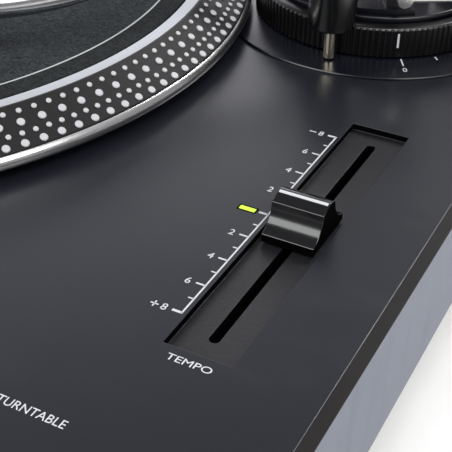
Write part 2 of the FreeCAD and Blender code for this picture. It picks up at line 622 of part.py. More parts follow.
def tube_path():
    """Centre line: straight from the pivot, out by one bend, back by the other, and on at the offset angle."""
    end, tail = along_headshell(0), 12.0
    bend, offset = math.radians(BEND), math.radians(OFFSET)
    rise = end.y + tail * math.sin(offset) - BEND_R * (1 - math.cos(bend)) - BEND_R * (math.cos(offset) - math.cos(bend))
    diagonal = rise / math.sin(bend)
    reach = end.x - tail * math.cos(offset) - BEND_R * (2 * math.sin(bend) + math.sin(offset))
    straight = reach - diagonal * math.cos(bend)
    start, first = Vector(14, 0, 0), Vector(straight, 0, 0)

    def arc(point, facing, turn):
        """A tangent arc from a point: its middle and its end."""
        side = 1 if turn > 0 else -1
        centre = point + heading(facing + 90 * side) * BEND_R
        spots = [centre + heading(facing - 90 * side + turn * t) * BEND_R for t in (0.5, 1.0)]
        return Part.Arc(point, *spots).toShape(), spots[1]

    arc_out, second = arc(first, 0, BEND)
    third = second + heading(BEND) * diagonal
    arc_back, fourth = arc(third, BEND, -(BEND + OFFSET))
    return Part.Wire([Part.LineSegment(start, first).toShape(), arc_out, Part.LineSegment(second, third).toShape(),
                      arc_back, Part.LineSegment(fourth, end).toShape()])


def swept(radius):
    circle = Part.Wire(Part.makeCircle(radius, Vector(14, 0, 0), X_AXIS))
    return tube_path().makePipeShell([circle], True, False)


def arm_tube():
    outer = swept(TUBE_R)
    socket = rod(5.6, along_headshell(-16), along_headshell(0))
    bore = rod(4.0 + RUNNING, along_headshell(-12), along_headshell(1))
    return on_arm(joined(outer, socket).cut([swept(TUBE_R - TUBE_WALL), bore]))


def rear_shaft():
    return on_arm(joined(rod(6.0, Vector(-13, 0, 0), Vector(-42, 0, 0)), rod(5.2, Vector(-42, 0, 0), Vector(-79, 0, 0))))


def locking_collar():
    collar = rod(7.4, along_headshell(-13), along_headshell(-0.6))
    return on_arm(collar.cut(rod(5.6 + RUNNING, along_headshell(-14), along_headshell(1))))


def tilted(shape):
    """Moves a shape drawn along +X from the tube's front end onto the headshell's axis."""
    shape.rotate(ORIGIN, Z_AXIS, -OFFSET)
    shape.translate(along_headshell(0))
    return on_arm(shape)


def headshell():
    """Plug, gasket, tapered neck and the plate that carries the cartridge, with the finger lift on its outer side."""
    plug = rod(4.0, Vector(-10, 0, 0), Vector(0.2, 0, 0))
    gasket = rod(5.6, Vector(0, 0, 0), Vector(1.5, 0, 0))
    neck = Part.makeCone(5.6, 3.6, 12, Vector(1.5, 0, 0), X_AXIS)
    outline = [(8, -4), (20, -9), (54, -9), (58, -6), (58, 6), (54, 9), (20, 9), (8, 4), (8, -4)]
    plate = Part.Face(Part.makePolygon([Vector(x, y, -1.3) for x, y in outline])).extrude(Vector(0, 0, 2.6))
    windows = [box(30, 42, s - 1.3, s + 1.3, -3, 3) for s in (-6.35, 6.35)]
    lift = joined(box(49, 54, 8.5, 13, 0.1, 1.3), box(50, 53, 12, 24, 0.1, 1.3))
    return tilted(joined(plug, gasket, neck, plate, lift).cut(windows))


def cartridge():
    body = box(27, 55, -8.2, 8.2, -14.6, -1.3)
    body = body.makeChamfer(2.0, [e for e in body.Edges if abs(e.CenterOfMass.x - 55) < 1e-3 and e.BoundBox.YLength > 10])
    terminals = [rod(0.6, Vector(22.5, y, z), Vector(27, y, z)) for y in (-4, 4) for z in (-5, -10)]
    screws = [joined(rod(1.2, Vector(36, s, -2), Vector(36, s, 1.5)), rod(2.2, Vector(36, s, 1.3), Vector(36, s, 2.8)))
              for s in (-6.35, 6.35)]
    return tilted(joined(body, *terminals, *screws))


def stylus():
    holder = box(38, 56, -3.6, 3.6, -16.4, -14.6)
    cantilever = rod(0.35, Vector(45, 0, -16.2), Vector(52.0, 0, -17.3))
    tip = Part.makeCone(0.3, 0.06, 0.9, Vector(51.7, 0, -17.1), Vector(0, 0, -1))
    return tilted(joined(holder, cantilever, tip))


WEIGHT_FRONT, WEIGHT_LONG, WEIGHT_R, SLEEVE_R = -54.0, 15.0, 14.0, 8.5


def damping_sleeve():
    front = WEIGHT_FRONT - 1.5
    sleeve = rod(SLEEVE_R, Vector(front, 0, 0), Vector(front - 13, 0, 0))
    return on_arm(sleeve.cut(rod(5.2 + RUNNING, Vector(0, 0, 0), Vector(-90, 0, 0))))


def counterweight():
    """Brass ring weight on the sleeve, with a thin neck in front that carries the force dial."""
    back = WEIGHT_FRONT - WEIGHT_LONG
    body = rod(WEIGHT_R, Vector(WEIGHT_FRONT, 0, 0), Vector(back, 0, 0))
    body = body.makeChamfer(1.2, [e for e in body.Edges if abs(e.BoundBox.XLength) < 1e-3 and e.BoundBox.YLength > 20])
    neck = rod(10.0, Vector(WEIGHT_FRONT + 3.6, 0, 0), Vector(WEIGHT_FRONT, 0, 0))
    bore = rod(SLEEVE_R + RUNNING, Vector(0, 0, 0), Vector(-90, 0, 0))
    return on_arm(joined(body, neck).cut(bore))


def force_dial():
    dial = rod(12.8, Vector(WEIGHT_FRONT + 3.4, 0, 0), Vector(WEIGHT_FRONT + 0.2, 0, 0))
    return on_arm(dial.cut(rod(10.0 + RUNNING, Vector(0, 0, 0), Vector(-90, 0, 0))))


NODES = {
    "top_shell": top_shell,
    "base_tray": base_tray,
    "case_screws": case_screws,
    "motor_frame": motor_frame,
    "bearing_housing": bearing_housing,
    "motor_board": motor_board,
    "stator_coils": stator_coils,
    "rotor_magnet": rotor_magnet,
    "spindle": spindle,
    "platter": platter,
    "slipmat": slipmat,
    "fader_body": fader_body,
    "fader_stem": fader_stem,
    "tempo_knob": tempo_knob,
    "tempo_led": tempo_led,
    "start_stop_button": lambda: button(START),
    "speed_33_button": lambda: button(SPEED_33),
    "speed_45_button": lambda: button(SPEED_45),
    "control_board": control_board,
    "power_switch": power_switch,
    "strobe_tower": strobe_tower,
    "strobe_window": strobe_window,
    "power_dial": power_dial,
    "adapter_45": adapter_45,
    "main_board": main_board,
    "power_transformer": transformer,
    "terminal_panel": terminal_panel,
    "rca_jacks": rca_jacks,
    "ground_screw": ground_screw,
    "output_switch": output_switch,
    "power_inlet": power_inlet,
    "hinge_sockets": hinge_sockets,
    "arm_base_plate": arm_base_plate,
    "height_ring": height_ring,
    "rest_post": rest_post,
    "rest_block": rest_block,
    "rest_clip": rest_clip,
    "arm_column": arm_column,
    "gimbal_bridge": gimbal_bridge,
    "anti_skate_housing": anti_skate_housing,
    "anti_skate_dial": anti_skate_dial,
    "cue_housing": cue_housing,
    "cue_lever": cue_lever,
    "lift_platform": lift_platform,
    "gimbal_ring": gimbal_ring,
    "pivot_axle": pivot_axle,
    "pivot_block": pivot_block,
    "arm_tube": arm_tube,
    "rear_shaft": rear_shaft,
    "locking_collar": locking_collar,
    "headshell": headshell,
    "cartridge": cartridge,
    "stylus": stylus,
    "damping_sleeve": damping_sleeve,
    "counterweight": counterweight,
    "force_dial": force_dial,
}
NODES.update({f"foot_{corner}": (lambda at=at: foot(at)) for corner, at in FEET.items()})


def main():
    os.makedirs("parts", exist_ok=True)
    print(f"arm plays at {PLAY:.3f} deg, parks {PARKED:.3f} deg further, length {ARM_LENGTH:.2f}, axis at {ARM_AXIS:.2f}")
    for name, make in NODES.items():
        shape = make()
        shape.exportStep(f"parts/{name}.step")
        solids = len(shape.Solids)
        state = "ok" if shape.isValid() and solids else "INVALID"
        print(f"{name}: {state}, {solids} solid(s), {shape.Volume / 1000:.2f} cm3")


main()
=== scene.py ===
"""Looks of a direct-drive turntable: detailed pieces, finishes, floor, light and camera around its frame."""

import json
import math

import bpy
from mathutils import Matrix, Vector


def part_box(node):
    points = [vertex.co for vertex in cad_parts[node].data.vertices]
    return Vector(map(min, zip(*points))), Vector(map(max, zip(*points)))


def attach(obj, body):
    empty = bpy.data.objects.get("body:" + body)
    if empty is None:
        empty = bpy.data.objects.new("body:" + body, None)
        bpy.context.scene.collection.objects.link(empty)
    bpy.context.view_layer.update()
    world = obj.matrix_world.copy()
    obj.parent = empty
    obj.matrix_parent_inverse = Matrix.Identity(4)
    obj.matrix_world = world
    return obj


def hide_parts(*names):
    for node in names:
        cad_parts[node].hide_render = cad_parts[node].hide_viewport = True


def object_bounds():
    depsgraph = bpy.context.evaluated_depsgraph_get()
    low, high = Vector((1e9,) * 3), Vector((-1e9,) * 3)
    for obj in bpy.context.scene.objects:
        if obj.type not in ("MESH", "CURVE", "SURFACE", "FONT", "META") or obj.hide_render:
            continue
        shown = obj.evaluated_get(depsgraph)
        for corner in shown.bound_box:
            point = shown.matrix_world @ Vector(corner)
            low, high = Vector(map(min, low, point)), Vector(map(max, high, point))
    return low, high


bl_info = {
    "name": "Turntable looks",
    "version": (1, 0, 0),
    "blender": (4, 5, 0),
    "location": "3D View > Sidebar > Turntable",
    "description": "Builds the visible pieces of a direct-drive turntable around its frame",
    "category": "Object",
}

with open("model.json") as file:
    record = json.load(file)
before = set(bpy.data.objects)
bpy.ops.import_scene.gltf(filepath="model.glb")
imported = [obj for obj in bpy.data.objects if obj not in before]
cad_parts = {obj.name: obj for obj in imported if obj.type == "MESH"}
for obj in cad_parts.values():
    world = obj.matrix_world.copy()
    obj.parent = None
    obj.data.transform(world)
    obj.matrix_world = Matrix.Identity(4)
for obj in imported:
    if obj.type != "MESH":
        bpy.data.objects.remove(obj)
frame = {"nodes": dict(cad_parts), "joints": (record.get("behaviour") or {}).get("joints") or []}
MODEL_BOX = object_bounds()

MM = 0.001
MICRON = 0.000001
FULL_TURN = 2 * math.pi
FLAT = (0, 0, 0)


def middle(node):
    """Centre of a frame node's box."""
    low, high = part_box(node)
    return (low + high) / 2


def joint_axis(name):
    return Vector(next(j["axis"] for j in frame["joints"] if j["name"] == name))


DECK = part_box("top_shell")[1].z
SPINDLE = middle("slipmat").xy.to_3d()
PIVOT = middle("height_ring").xy.to_3d()
SLIDER = middle("fader_body").xy.to_3d()
POWER = middle("power_dial").xy.to_3d()
ARM_HEIGHT = middle("pivot_axle").z
ARM_TURN = math.atan2(joint_axis("weight_feed").y, joint_axis("weight_feed").x)


# --- Modelling helpers ------------------------------------------------------
def clear_selection():
    if bpy.context.mode != "OBJECT":
        bpy.ops.object.mode_set(mode="OBJECT")
    bpy.ops.object.select_all(action="DESELECT")


def pick(*objects):
    """Selects these objects alone; the last one is active."""
    clear_selection()
    for obj in objects:
        obj.select_set(True)
    bpy.context.view_layer.objects.active = objects[-1]
    return objects[-1]


def newest(name):
    """The object just added, given its name."""
    obj = bpy.context.active_object
    obj.name = obj.data.name = name
    return obj


def edit_all(obj):
    pick(obj)
    bpy.ops.object.mode_set(mode="EDIT")
    bpy.ops.mesh.select_all(action="SELECT")


def close_up(obj):
    """Merges what meets and turns the faces outwards."""
    edit_all(obj)
    bpy.ops.mesh.remove_doubles(threshold=4 * MICRON)
    bpy.ops.mesh.normals_make_consistent(inside=False)
    bpy.ops.object.mode_set(mode="OBJECT")
    return obj


def set_down(obj, place=(0, 0, 0), turn=(0, 0, 0)):
    """Turns and moves a piece, then writes its place into its mesh."""
    pick(obj)
    obj.rotation_euler = turn
    obj.location = place
    bpy.ops.object.transform_apply(location=True, rotation=True, scale=True)
    return obj


def on_arm(obj):
    """Moves a piece drawn along +X, about the arm's pivot, to where the arm stands."""
    return set_down(obj, (PIVOT.x, PIVOT.y, ARM_HEIGHT), (0, 0, ARM_TURN))


def round_edges(obj, width, segments=2, angle=32.0):
    if width > 0:
        pick(obj)
        bevel = obj.modifiers.new("edges", "BEVEL")
        bevel.width, bevel.segments, bevel.limit_method = width, segments, "ANGLE"
        bevel.angle_limit, bevel.use_clamp_overlap = math.radians(angle), True
        bpy.ops.object.modifier_apply(modifier=bevel.name)
    return smooth(obj)


def smooth(obj, angle=38.0):
    """Smooth shading that keeps the large faces flat and the sharp edges sharp."""
    pick(obj)
    bpy.ops.object.shade_smooth_by_angle(angle=math.radians(angle))
    even = obj.modifiers.new("even shading", "WEIGHTED_NORMAL")
    even.keep_sharp = True
    bpy.ops.object.modifier_apply(modifier=even.name)
    return obj


def join(name, pieces):
    pick(*pieces)
    if len(pieces) > 1:
        bpy.ops.object.join()
    joined = bpy.context.view_layer.objects.active
    joined.name = joined.data.name = name
    return joined


def outline(name, points):
    """A line through the points, extruded vertex by vertex; stays in edit mode."""
    clear_selection()
    bpy.ops.mesh.primitive_plane_add(size=MM, location=(0, 0, 0))
    obj = newest(name)
    bpy.ops.object.mode_set(mode="EDIT")
    bpy.ops.mesh.merge(type="CENTER")
    bpy.ops.transform.translate(value=points[0])
    for here, there in zip(points, points[1:]):
        bpy.ops.mesh.extrude_region_move(TRANSFORM_OT_translate={"value": there - here})
    return obj


def lathe(name, profile, centre=(0, 0, 0), steps=96):
    """Spins a profile of (radius, height) in millimetres about an upright axis."""
    centre = Vector(centre)
    obj = outline(name, [centre + Vector((r, 0, z)) * MM for r, z in profile])
    bpy.ops.mesh.select_all(action="SELECT")
    bpy.ops.mesh.spin(steps=steps, angle=FULL_TURN, center=centre, axis=(0, 0, 1))
    return close_up(obj)


def prism(name, points, depth):
    """A flat outline filled and pulled out by a vector."""
    obj = outline(name, points)
    bpy.ops.mesh.select_all(action="SELECT")
    bpy.ops.mesh.edge_face_add()
    bpy.ops.mesh.extrude_region_move(TRANSFORM_OT_translate={"value": depth})
    return close_up(obj)


def bow(centre_r, centre_z, radius, start, end, steps=6):
    """Points along an arc of a profile, in millimetres and degrees."""
    angles = [math.radians(start + (end - start) * i / steps) for i in range(steps + 1)]
    return [(centre_r + radius * math.cos(a), centre_z + radius * math.sin(a)) for a in angles]


def hollow(start, end, sag, steps):
    """Points of a curve that sags inwards between two points of a side view, in millimetres."""
    (y0, z0), (y1, z1) = start, end
    rising = z1 > z0
    corner = (y1, z0) if rising else (y0, z1)
    points = []
    for index in range(steps + 1):
        t = index / steps
        pull = 2 * t * (1 - t)
        y = (1 - t) ** 2 * y0 + pull * (corner[0] * (1 - sag) + (y0 + y1) / 2 * sag) + t * t * y1
        z = (1 - t) ** 2 * z0 + pull * (corner[1] * (1 - sag) + (z0 + z1) / 2 * sag) + t * t * z1
        points.append((y, z))
    return points


def repeat_round(obj, count):
    """Copies a small shape all the way round the upright axis, inside its own mesh."""
    edit_all(obj)
    bpy.ops.mesh.spin(steps=count, dupli=True, angle=FULL_TURN, center=(0, 0, 0), axis=(0, 0, 1))
    return close_up(obj)


def rib(name, radius, low, high, reach, flat=1.0):
    """One upright rib with a domed top, standing `reach` out along +X, in millimetres."""
    clear_selection()
    bpy.ops.mesh.primitive_cylinder_add(
        vertices=8, radius=radius * MM, depth=(high - low) * MM, location=(0, 0, 0), end_fill_type="NGON")
    obj = newest(name)
    bpy.ops.object.mode_set(mode="EDIT")
    bpy.ops.mesh.select_all(action="DESELECT")
    bpy.ops.object.mode_set(mode="OBJECT")
    for face in obj.data.polygons:
        face.select = face.normal.z > 0.9
    bpy.ops.object.mode_set(mode="EDIT")
    bpy.ops.mesh.bevel(offset=radius * 0.6 * MM, segments=2, affect="EDGES")
    bpy.ops.object.mode_set(mode="OBJECT")
    obj.scale = (flat, 1, 1)
    return set_down(obj, (reach * MM, 0, (low + high) / 2 * MM))


def disc_dot(name, radius, thick):
    """A small round stud with a softened rim."""
    clear_selection()
    bpy.ops.mesh.primitive_circle_add(vertices=14, radius=radius, fill_type="NGON", location=(0, 0, 0))
    obj = newest(name)
    bpy.ops.object.mode_set(mode="EDIT")
    bpy.ops.mesh.select_all(action="SELECT")
    bpy.ops.mesh.extrude_region_move(TRANSFORM_OT_translate={"value": (0, 0, thick)})
    bpy.ops.mesh.bevel(offset=thick * 0.4, segments=1, affect="EDGES")
    return close_up(obj)


def bar(name, x0, x1, y0, y1, z, thick=0.06):
    """One printed mark: a thin flat bar lying on a surface at height z, in millimetres."""
    points = [Vector(p) * MM for p in ((x0, y0, z), (x1, y0, z), (x1, y1, z), (x0, y1, z))]
    return prism(name, points, Vector((0, 0, thick * MM)))


def lettering(name, text, height, width=None, thick=0.06):
    """Printed characters as a thin mesh, centred on the origin; height and width in millimetres."""
    clear_selection()
    bpy.ops.object.text_add(location=(0, 0, 0))
    obj = bpy.context.active_object
    obj.data.body = text
    obj.data.resolution_u = 3
    obj.data.extrude = 0.05
    bpy.ops.object.convert(target="MESH")
    obj = newest(name)
    xs, ys = [v.co.x for v in obj.data.vertices], [v.co.y for v in obj.data.vertices]
    tall = height * MM / (max(ys) - min(ys))
    wide = width * MM / (max(xs) - min(xs)) if width else tall
    obj.data.transform(Matrix.Translation((-(min(xs) + max(xs)) / 2, -(min(ys) + max(ys)) / 2, 0.05)))
    obj.scale = (wide, tall, thick * MM / 0.1)
    set_down(obj)
    return close_up(obj)


def from_frame(node, width, segments=2, angle=32.0):
    """A copy of a frame node with its flat faces cleaned and its edges rounded by a width in millimetres."""
    mesh = frame["nodes"][node].data.copy()
    obj = bpy.data.objects.new(f"{node}_finished", mesh)
    bpy.context.scene.collection.objects.link(obj)
    edit_all(obj)
    bpy.ops.mesh.customdata_custom_splitnormals_clear()
    bpy.ops.mesh.remove_doubles(threshold=2 * MICRON)
    bpy.ops.mesh.dissolve_limited(angle_limit=math.radians(0.3), delimit={"NORMAL"})
    bpy.ops.object.mode_set(mode="OBJECT")
    obj.data.name = obj.name
    return round_edges(obj, width * MM, segments, angle)


def coat(obj, *finishes):
    """Gives a piece its finishes, in slot order."""
    obj.data.materials.clear()
    for key in finishes:
        obj.data.materials.append(FINISHES[key])
    return obj


def coat_faces(obj, slot, test):
    """Puts the faces whose centre passes the test in another material slot."""
    for face in obj.data.polygons:
        if test(face.center, face.normal):
            face.material_index = slot


def hand_over(obj, body, slot, *nodes):
    """Says what the piece rides on and which frame nodes it stands for; the slot argument is not used."""
    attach(obj, body)
    if nodes:
        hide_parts(*nodes)
    return obj


def refine(node, body, finish, slot, width, angle=32.0):
    """Hands over a rounded, coated copy of a frame node in the node's place."""
    return hand_over(coat(from_frame(node, width, angle=angle), finish), body, slot, node)


# --- Finishes ---------------------------------------------------------------
FINISHES = {}


def add_node(tree, kind, settings=None, **inputs):
    """Adds a shader node; an input is a value or another node's output, and _ in its name is a space."""
    node = tree.nodes.new(kind)
    for key, value in (settings or {}).items():
        setattr(node, key, value)
    for key, value in inputs.items():
        wire(tree, value, node.inputs[key.replace("_", " ")])
    return node


def wire(tree, value, socket):
    if isinstance(value, bpy.types.NodeSocket):
        tree.links.new(value, socket)
    else:
        socket.default_value = value


def calc(tree, operation, *values):
    """Math node; returns its output."""
    node = tree.nodes.new("ShaderNodeMath")
    node.operation = operation
    for value, socket in zip(values, node.inputs):
        wire(tree, value, socket)
    return node.outputs[0]


def span(tree, value, low, high, to_low, to_high):
    """Map Range node; returns its output."""
    node = add_node(tree, "ShaderNodeMapRange")
    for item, socket in zip((value, low, high, to_low, to_high), node.inputs):
        wire(tree, item, socket)
    return node.outputs[0]


def blend_colour(tree, factor, first, second):
    node = add_node(tree, "ShaderNodeMix", {"data_type": "RGBA"})
    for item, index in ((factor, 0), (first, 6), (second, 7)):
        wire(tree, item, node.inputs[index])
    return node.outputs[2]


def noise(tree, place, scale, detail=3.0, rough=0.55):
    node = add_node(tree, "ShaderNodeTexNoise", Vector=place, Scale=scale, Detail=detail, Roughness=rough)
    return node.outputs[0]


def scale_by(tree, factor, colour):
    """Multiplies a colour by a value; returns the node's output."""
    node = add_node(tree, "ShaderNodeVectorMath", {"operation": "SCALE"}, Scale=factor)
    wire(tree, colour, node.inputs[0])
    return node.outputs[0]


def centred_on(tree, place, centre, tilt=(0, 0, 0)):
    """The pattern's coordinates measured from a centre, with its Z axis tilted."""
    settings = {"vector_type": "TEXTURE"}
    return add_node(tree, "ShaderNodeMapping", settings, Vector=place, Location=centre,
                    Rotation=tilt).outputs[0]


def new_group(name, inputs, outputs):
    """Shader node group with named sockets; returns it with its input and output nodes."""
    group = bpy.data.node_groups.new(name, "ShaderNodeTree")
    kinds = {"value": "NodeSocketFloat", "colour": "NodeSocketColor", "vector": "NodeSocketVector"}
    for label, kind in inputs.items():
        group.interface.new_socket(name=label, in_out="INPUT", socket_type=kinds[kind])
    for label, kind in outputs.items():
        group.interface.new_socket(name=label, in_out="OUTPUT", socket_type=kinds[kind])
    return group, group.nodes.new("NodeGroupInput").outputs, group.nodes.new("NodeGroupOutput").inputs


def worked_surface():
    """Fine grain, a slight unevenness of colour and shine, and faint handling marks."""
    group, given, out = new_group(
        "worked surface",
        {"Place": "vector", "Colour": "colour", "Roughness": "value",
         "Grain": "value", "Mottle": "value", "Smudge": "value"},
        {"Colour": "colour", "Roughness": "value", "Height": "value"})
    fine = noise(group, given["Place"], given["Grain"], 2.0)
    broad = noise(group, given["Place"], 14.0, 4.0)
    wipes = add_node(group, "ShaderNodeMapping", Vector=given["Place"],
                     Scale=(1.0, 3.5, 1.0), Rotation=(0, 0, 0.6))
    marks = span(group, noise(group, wipes.outputs[0], 22.0, 5.0, 0.65), 0.52, 0.72, 0.0, 1.0)
    speck = span(group, fine, 0.3, 0.7, -1.0, 1.0)
    lighter = calc(group, "MULTIPLY_ADD", calc(group, "ADD", speck, span(group, broad, 0.35, 0.65, -0.5, 0.5)),
                   given["Mottle"], 1.0)
    rough = calc(group, "MULTIPLY_ADD", marks, given["Smudge"], given["Roughness"])
    rough = calc(group, "MULTIPLY_ADD", span(group, broad, 0.3, 0.7, -0.3, 0.3), given["Smudge"], rough)
    group.links.new(scale_by(group, lighter, given["Colour"]), out["Colour"])
    group.links.new(rough, out["Roughness"])
    group.links.new(fine, out["Height"])
    return group


def turned_lines():
    """Fine concentric lines left by a lathe, about the pattern's Z axis."""
    group, given, out = new_group(
        "turned lines", {"Place": "vector", "Density": "value"}, {"Height": "value", "Radius": "value"})
    parts = add_node(group, "ShaderNodeSeparateXYZ", Vector=given["Place"]).outputs
    squares = [calc(group, "POWER", part, 2.0) for part in parts[:2]]
    radius = calc(group, "SQRT", calc(group, "ADD", *squares))
    where = add_node(group, "ShaderNodeCombineXYZ", X=radius, Y=parts[2])
    group.links.new(noise(group, where.outputs[0], given["Density"], 3.0, 0.7), out["Height"])
    group.links.new(radius, out["Radius"])
    return group


def dust_specks():
    """Mask of a few tiny specks that settle on faces that look up."""
    group, given, out = new_group(
        "dust specks", {"Place": "vector", "Scale": "value", "Amount": "value"}, {"Mask": "value"})
    cells = add_node(group, "ShaderNodeTexVoronoi", Vector=given["Place"], Scale=given["Scale"], Randomness=1.0)
    near = span(group, cells.outputs["Distance"], 0.10, 0.16, 1.0, 0.0)
    chosen = add_node(group, "ShaderNodeSeparateColor", Color=cells.outputs["Color"]).outputs[0]
    rare = calc(group, "GREATER_THAN", given["Amount"], chosen)
    normal = add_node(group, "ShaderNodeTexCoord").outputs["Normal"]
    up = calc(group, "GREATER_THAN", add_node(group, "ShaderNodeSeparateXYZ", Vector=normal).outputs[2], 0.6)
    group.links.new(calc(group, "MULTIPLY", calc(group, "MULTIPLY", near, rare), up), out["Mask"])
    return group


GROUPS = {}


def use_group(tree, key, **inputs):
    node = tree.nodes.new("ShaderNodeGroup")
    node.node_tree = GROUPS[key]
    for label, value in inputs.items():
        wire(tree, value, node.inputs[label])
    return node.outputs


def new_finish(key):
    """An empty finish; returns its node tree, its shader and the Object coordinates."""
    material = bpy.data.materials.new(key)
    material.use_nodes = True
    FINISHES[key] = material
    tree = material.node_tree
    return tree, tree.nodes["Principled BSDF"], add_node(tree, "ShaderNodeTexCoord").outputs["Object"]


def make_finish(key, colour, roughness, metallic=0.0, grain=1400.0, depth=10 * MICRON, mottle=0.06, smudge=0.05,
                lines=None, dust=0.0, **shader):
    """One finish.

    lines is (density, depth, centre, tilt) for a turned surface; shader sets the shader's own values.
    """
    tree, principled, place = new_finish(key)
    surface = use_group(tree, "worked", Place=place, Colour=(*colour, 1.0), Roughness=roughness, Grain=grain,
                        Mottle=mottle, Smudge=smudge)
    tint = surface["Colour"]
    if dust:
        specks = use_group(tree, "dust", Place=place, Scale=260.0, Amount=dust)
        tint = blend_colour(tree, specks["Mask"], tint, (0.30, 0.27, 0.23, 1.0))
    bump = add_node(tree, "ShaderNodeBump", Height=surface["Height"], Distance=depth, Strength=1.0)
    if lines:
        density, line_depth, centre, tilt = lines
        cut = use_group(tree, "turned", Place=centred_on(tree, place, centre, tilt), Density=density)
        bump = add_node(tree, "ShaderNodeBump", Height=cut["Height"], Distance=line_depth, Strength=1.0,
                        Normal=bump.outputs[0])
    tree.links.new(tint, principled.inputs["Base Color"])
    tree.links.new(surface["Roughness"], principled.inputs["Roughness"])
    tree.links.new(bump.outputs[0], principled.inputs["Normal"])
    principled.inputs["Metallic"].default_value = metallic
    for label, value in shader.items():
        principled.inputs[label.replace("_", " ")].default_value = value


def make_felt(key, colour, ring_radius):
    """Pressed felt: short tangled fibres, darker outside the printed ring, with a few specks of lint."""
    tree, principled, place = new_finish(key)
    warp = add_node(tree, "ShaderNodeTexNoise", Vector=place, Scale=420.0, Detail=2.0)
    tangled = add_node(tree, "ShaderNodeVectorMath", {"operation": "ADD"})
    tree.links.new(place, tangled.inputs[0])
    tree.links.new(scale_by(tree, 0.004, warp.outputs["Color"]), tangled.inputs[1])
    fibre = noise(tree, tangled.outputs[0], 850.0, 4.0, 0.75)
    clumps = noise(tree, place, 160.0, 3.0)
    radius = use_group(tree, "turned", Place=centred_on(tree, place, SPINDLE), Density=1.0)["Radius"]
    outer = calc(tree, "GREATER_THAN", radius, ring_radius)
    shade = calc(tree, "MULTIPLY", span(tree, fibre, 0.36, 0.64, 0.15, 2.0),
                 span(tree, clumps, 0.3, 0.7, 0.85, 1.15))
    shade = calc(tree, "MULTIPLY", shade, span(tree, outer, 0.0, 1.0, 1.0, 0.62))
    lint = use_group(tree, "dust", Place=place, Scale=420.0, Amount=0.03)["Mask"]
    tint = blend_colour(tree, calc(tree, "MULTIPLY", lint, 0.8), scale_by(tree, shade, colour),
                        (0.11, 0.105, 0.095, 1.0))
    bump = add_node(tree, "ShaderNodeBump", Height=fibre, Distance=250 * MICRON, Strength=0.9)
    tree.links.new(tint, principled.inputs["Base Color"])
    tree.links.new(span(tree, fibre, 0.3, 0.7, 0.85, 1.0), principled.inputs["Roughness"])
    tree.links.new(bump.outputs[0], principled.inputs["Normal"])
    principled.inputs["Sheen Weight"].default_value = 0.015
    principled.inputs["Specular IOR Level"].default_value = 0.08


# --- Settings ---------------------------------------------------------------
def colour_setting(name, description, default):
    return bpy.props.FloatVectorProperty(
        name=name, description=description, default=default, size=3, min=0.0, max=1.0, subtype="COLOR")


def size_setting(name, description, default):
    return bpy.props.FloatProperty(
        name=name, description=description, default=default, min=0.0, unit="LENGTH", precision=5)


class FinishSettings(bpy.types.PropertyGroup):
    deck: colour_setting("Deck", "Satin coating of the case", (0.0074, 0.0083, 0.0124))
    side: colour_setting("Sides", "Satin coating of the case's sides", (0.107, 0.124, 0.168))
    felt: colour_setting("Felt", "Felt of the mat", (0.0200, 0.0230, 0.0250))
    metal: colour_setting("Bright metal", "Polished and turned aluminium", (0.80, 0.80, 0.79))
    dots: colour_setting("Dots", "Dots on the platter's edge", (0.44, 0.44, 0.46))
    band: colour_setting("Dot band", "Dark band under the dots", (0.007, 0.007, 0.008))
    print: colour_setting("Print", "Printed marks and numbers", (0.49, 0.50, 0.52))
    lamp: colour_setting("Zero lamp", "Lens beside the slider's zero", (0.45, 0.68, 0.025))
    knob: colour_setting("Knobs", "Gloss black mouldings", (0.0015, 0.0016, 0.0020))


class CaseSettings(bpy.types.PropertyGroup):
    edge: size_setting("Edge rounding", "Rounding of the case's edges", 0.00045)
    foot_grooves: bpy.props.IntProperty(
        name="Foot grooves", description="Grooves round each foot", default=3, min=1, max=5)


class PlatterSettings(bpy.types.PropertyGroup):
    small_dot: size_setting("Small dots", "Radius of the small dots", 0.00092)
    large_dot: size_setting("Large dots", "Radius of the large dots", 0.00136)
    dot_height: size_setting("Dot height", "How far the dots stand out", 0.00050)
    ring_radius: size_setting("Printed ring", "Radius of the ring printed on the mat", 0.1361)
    ring_width: size_setting("Printed ring width", "Width of the ring printed on the mat", 0.00070)


class TempoSettings(bpy.types.PropertyGroup):
    digit: size_setting("Digit height", "Height of the scale's numbers", 0.0026)
    line: size_setting("Line width", "Width of the scale's lines", 0.00050)
    half_span: size_setting("Half scale", "From the zero mark to either end", 0.0510)


class TonearmSettings(bpy.types.PropertyGroup):
    ribs: bpy.props.IntProperty(
        name="Ribs", description="Ribs round the height ring", default=132, min=24, max=240)
    edge: size_setting("Edge rounding", "Rounding of the machined edges", 0.00035)


class StudioSettings(bpy.types.PropertyGroup):
    lens: bpy.props.FloatProperty(
        name="Lens", description="Focal length of the camera", default=85.66, min=10, max=300, unit="CAMERA")
    floor: colour_setting("Floor", "Colour of the floor", (0.96, 0.96, 0.96))
    light: bpy.props.FloatProperty(
        name="Light", description="Strength of the large lamps", default=1.0, min=0.0, max=10.0)


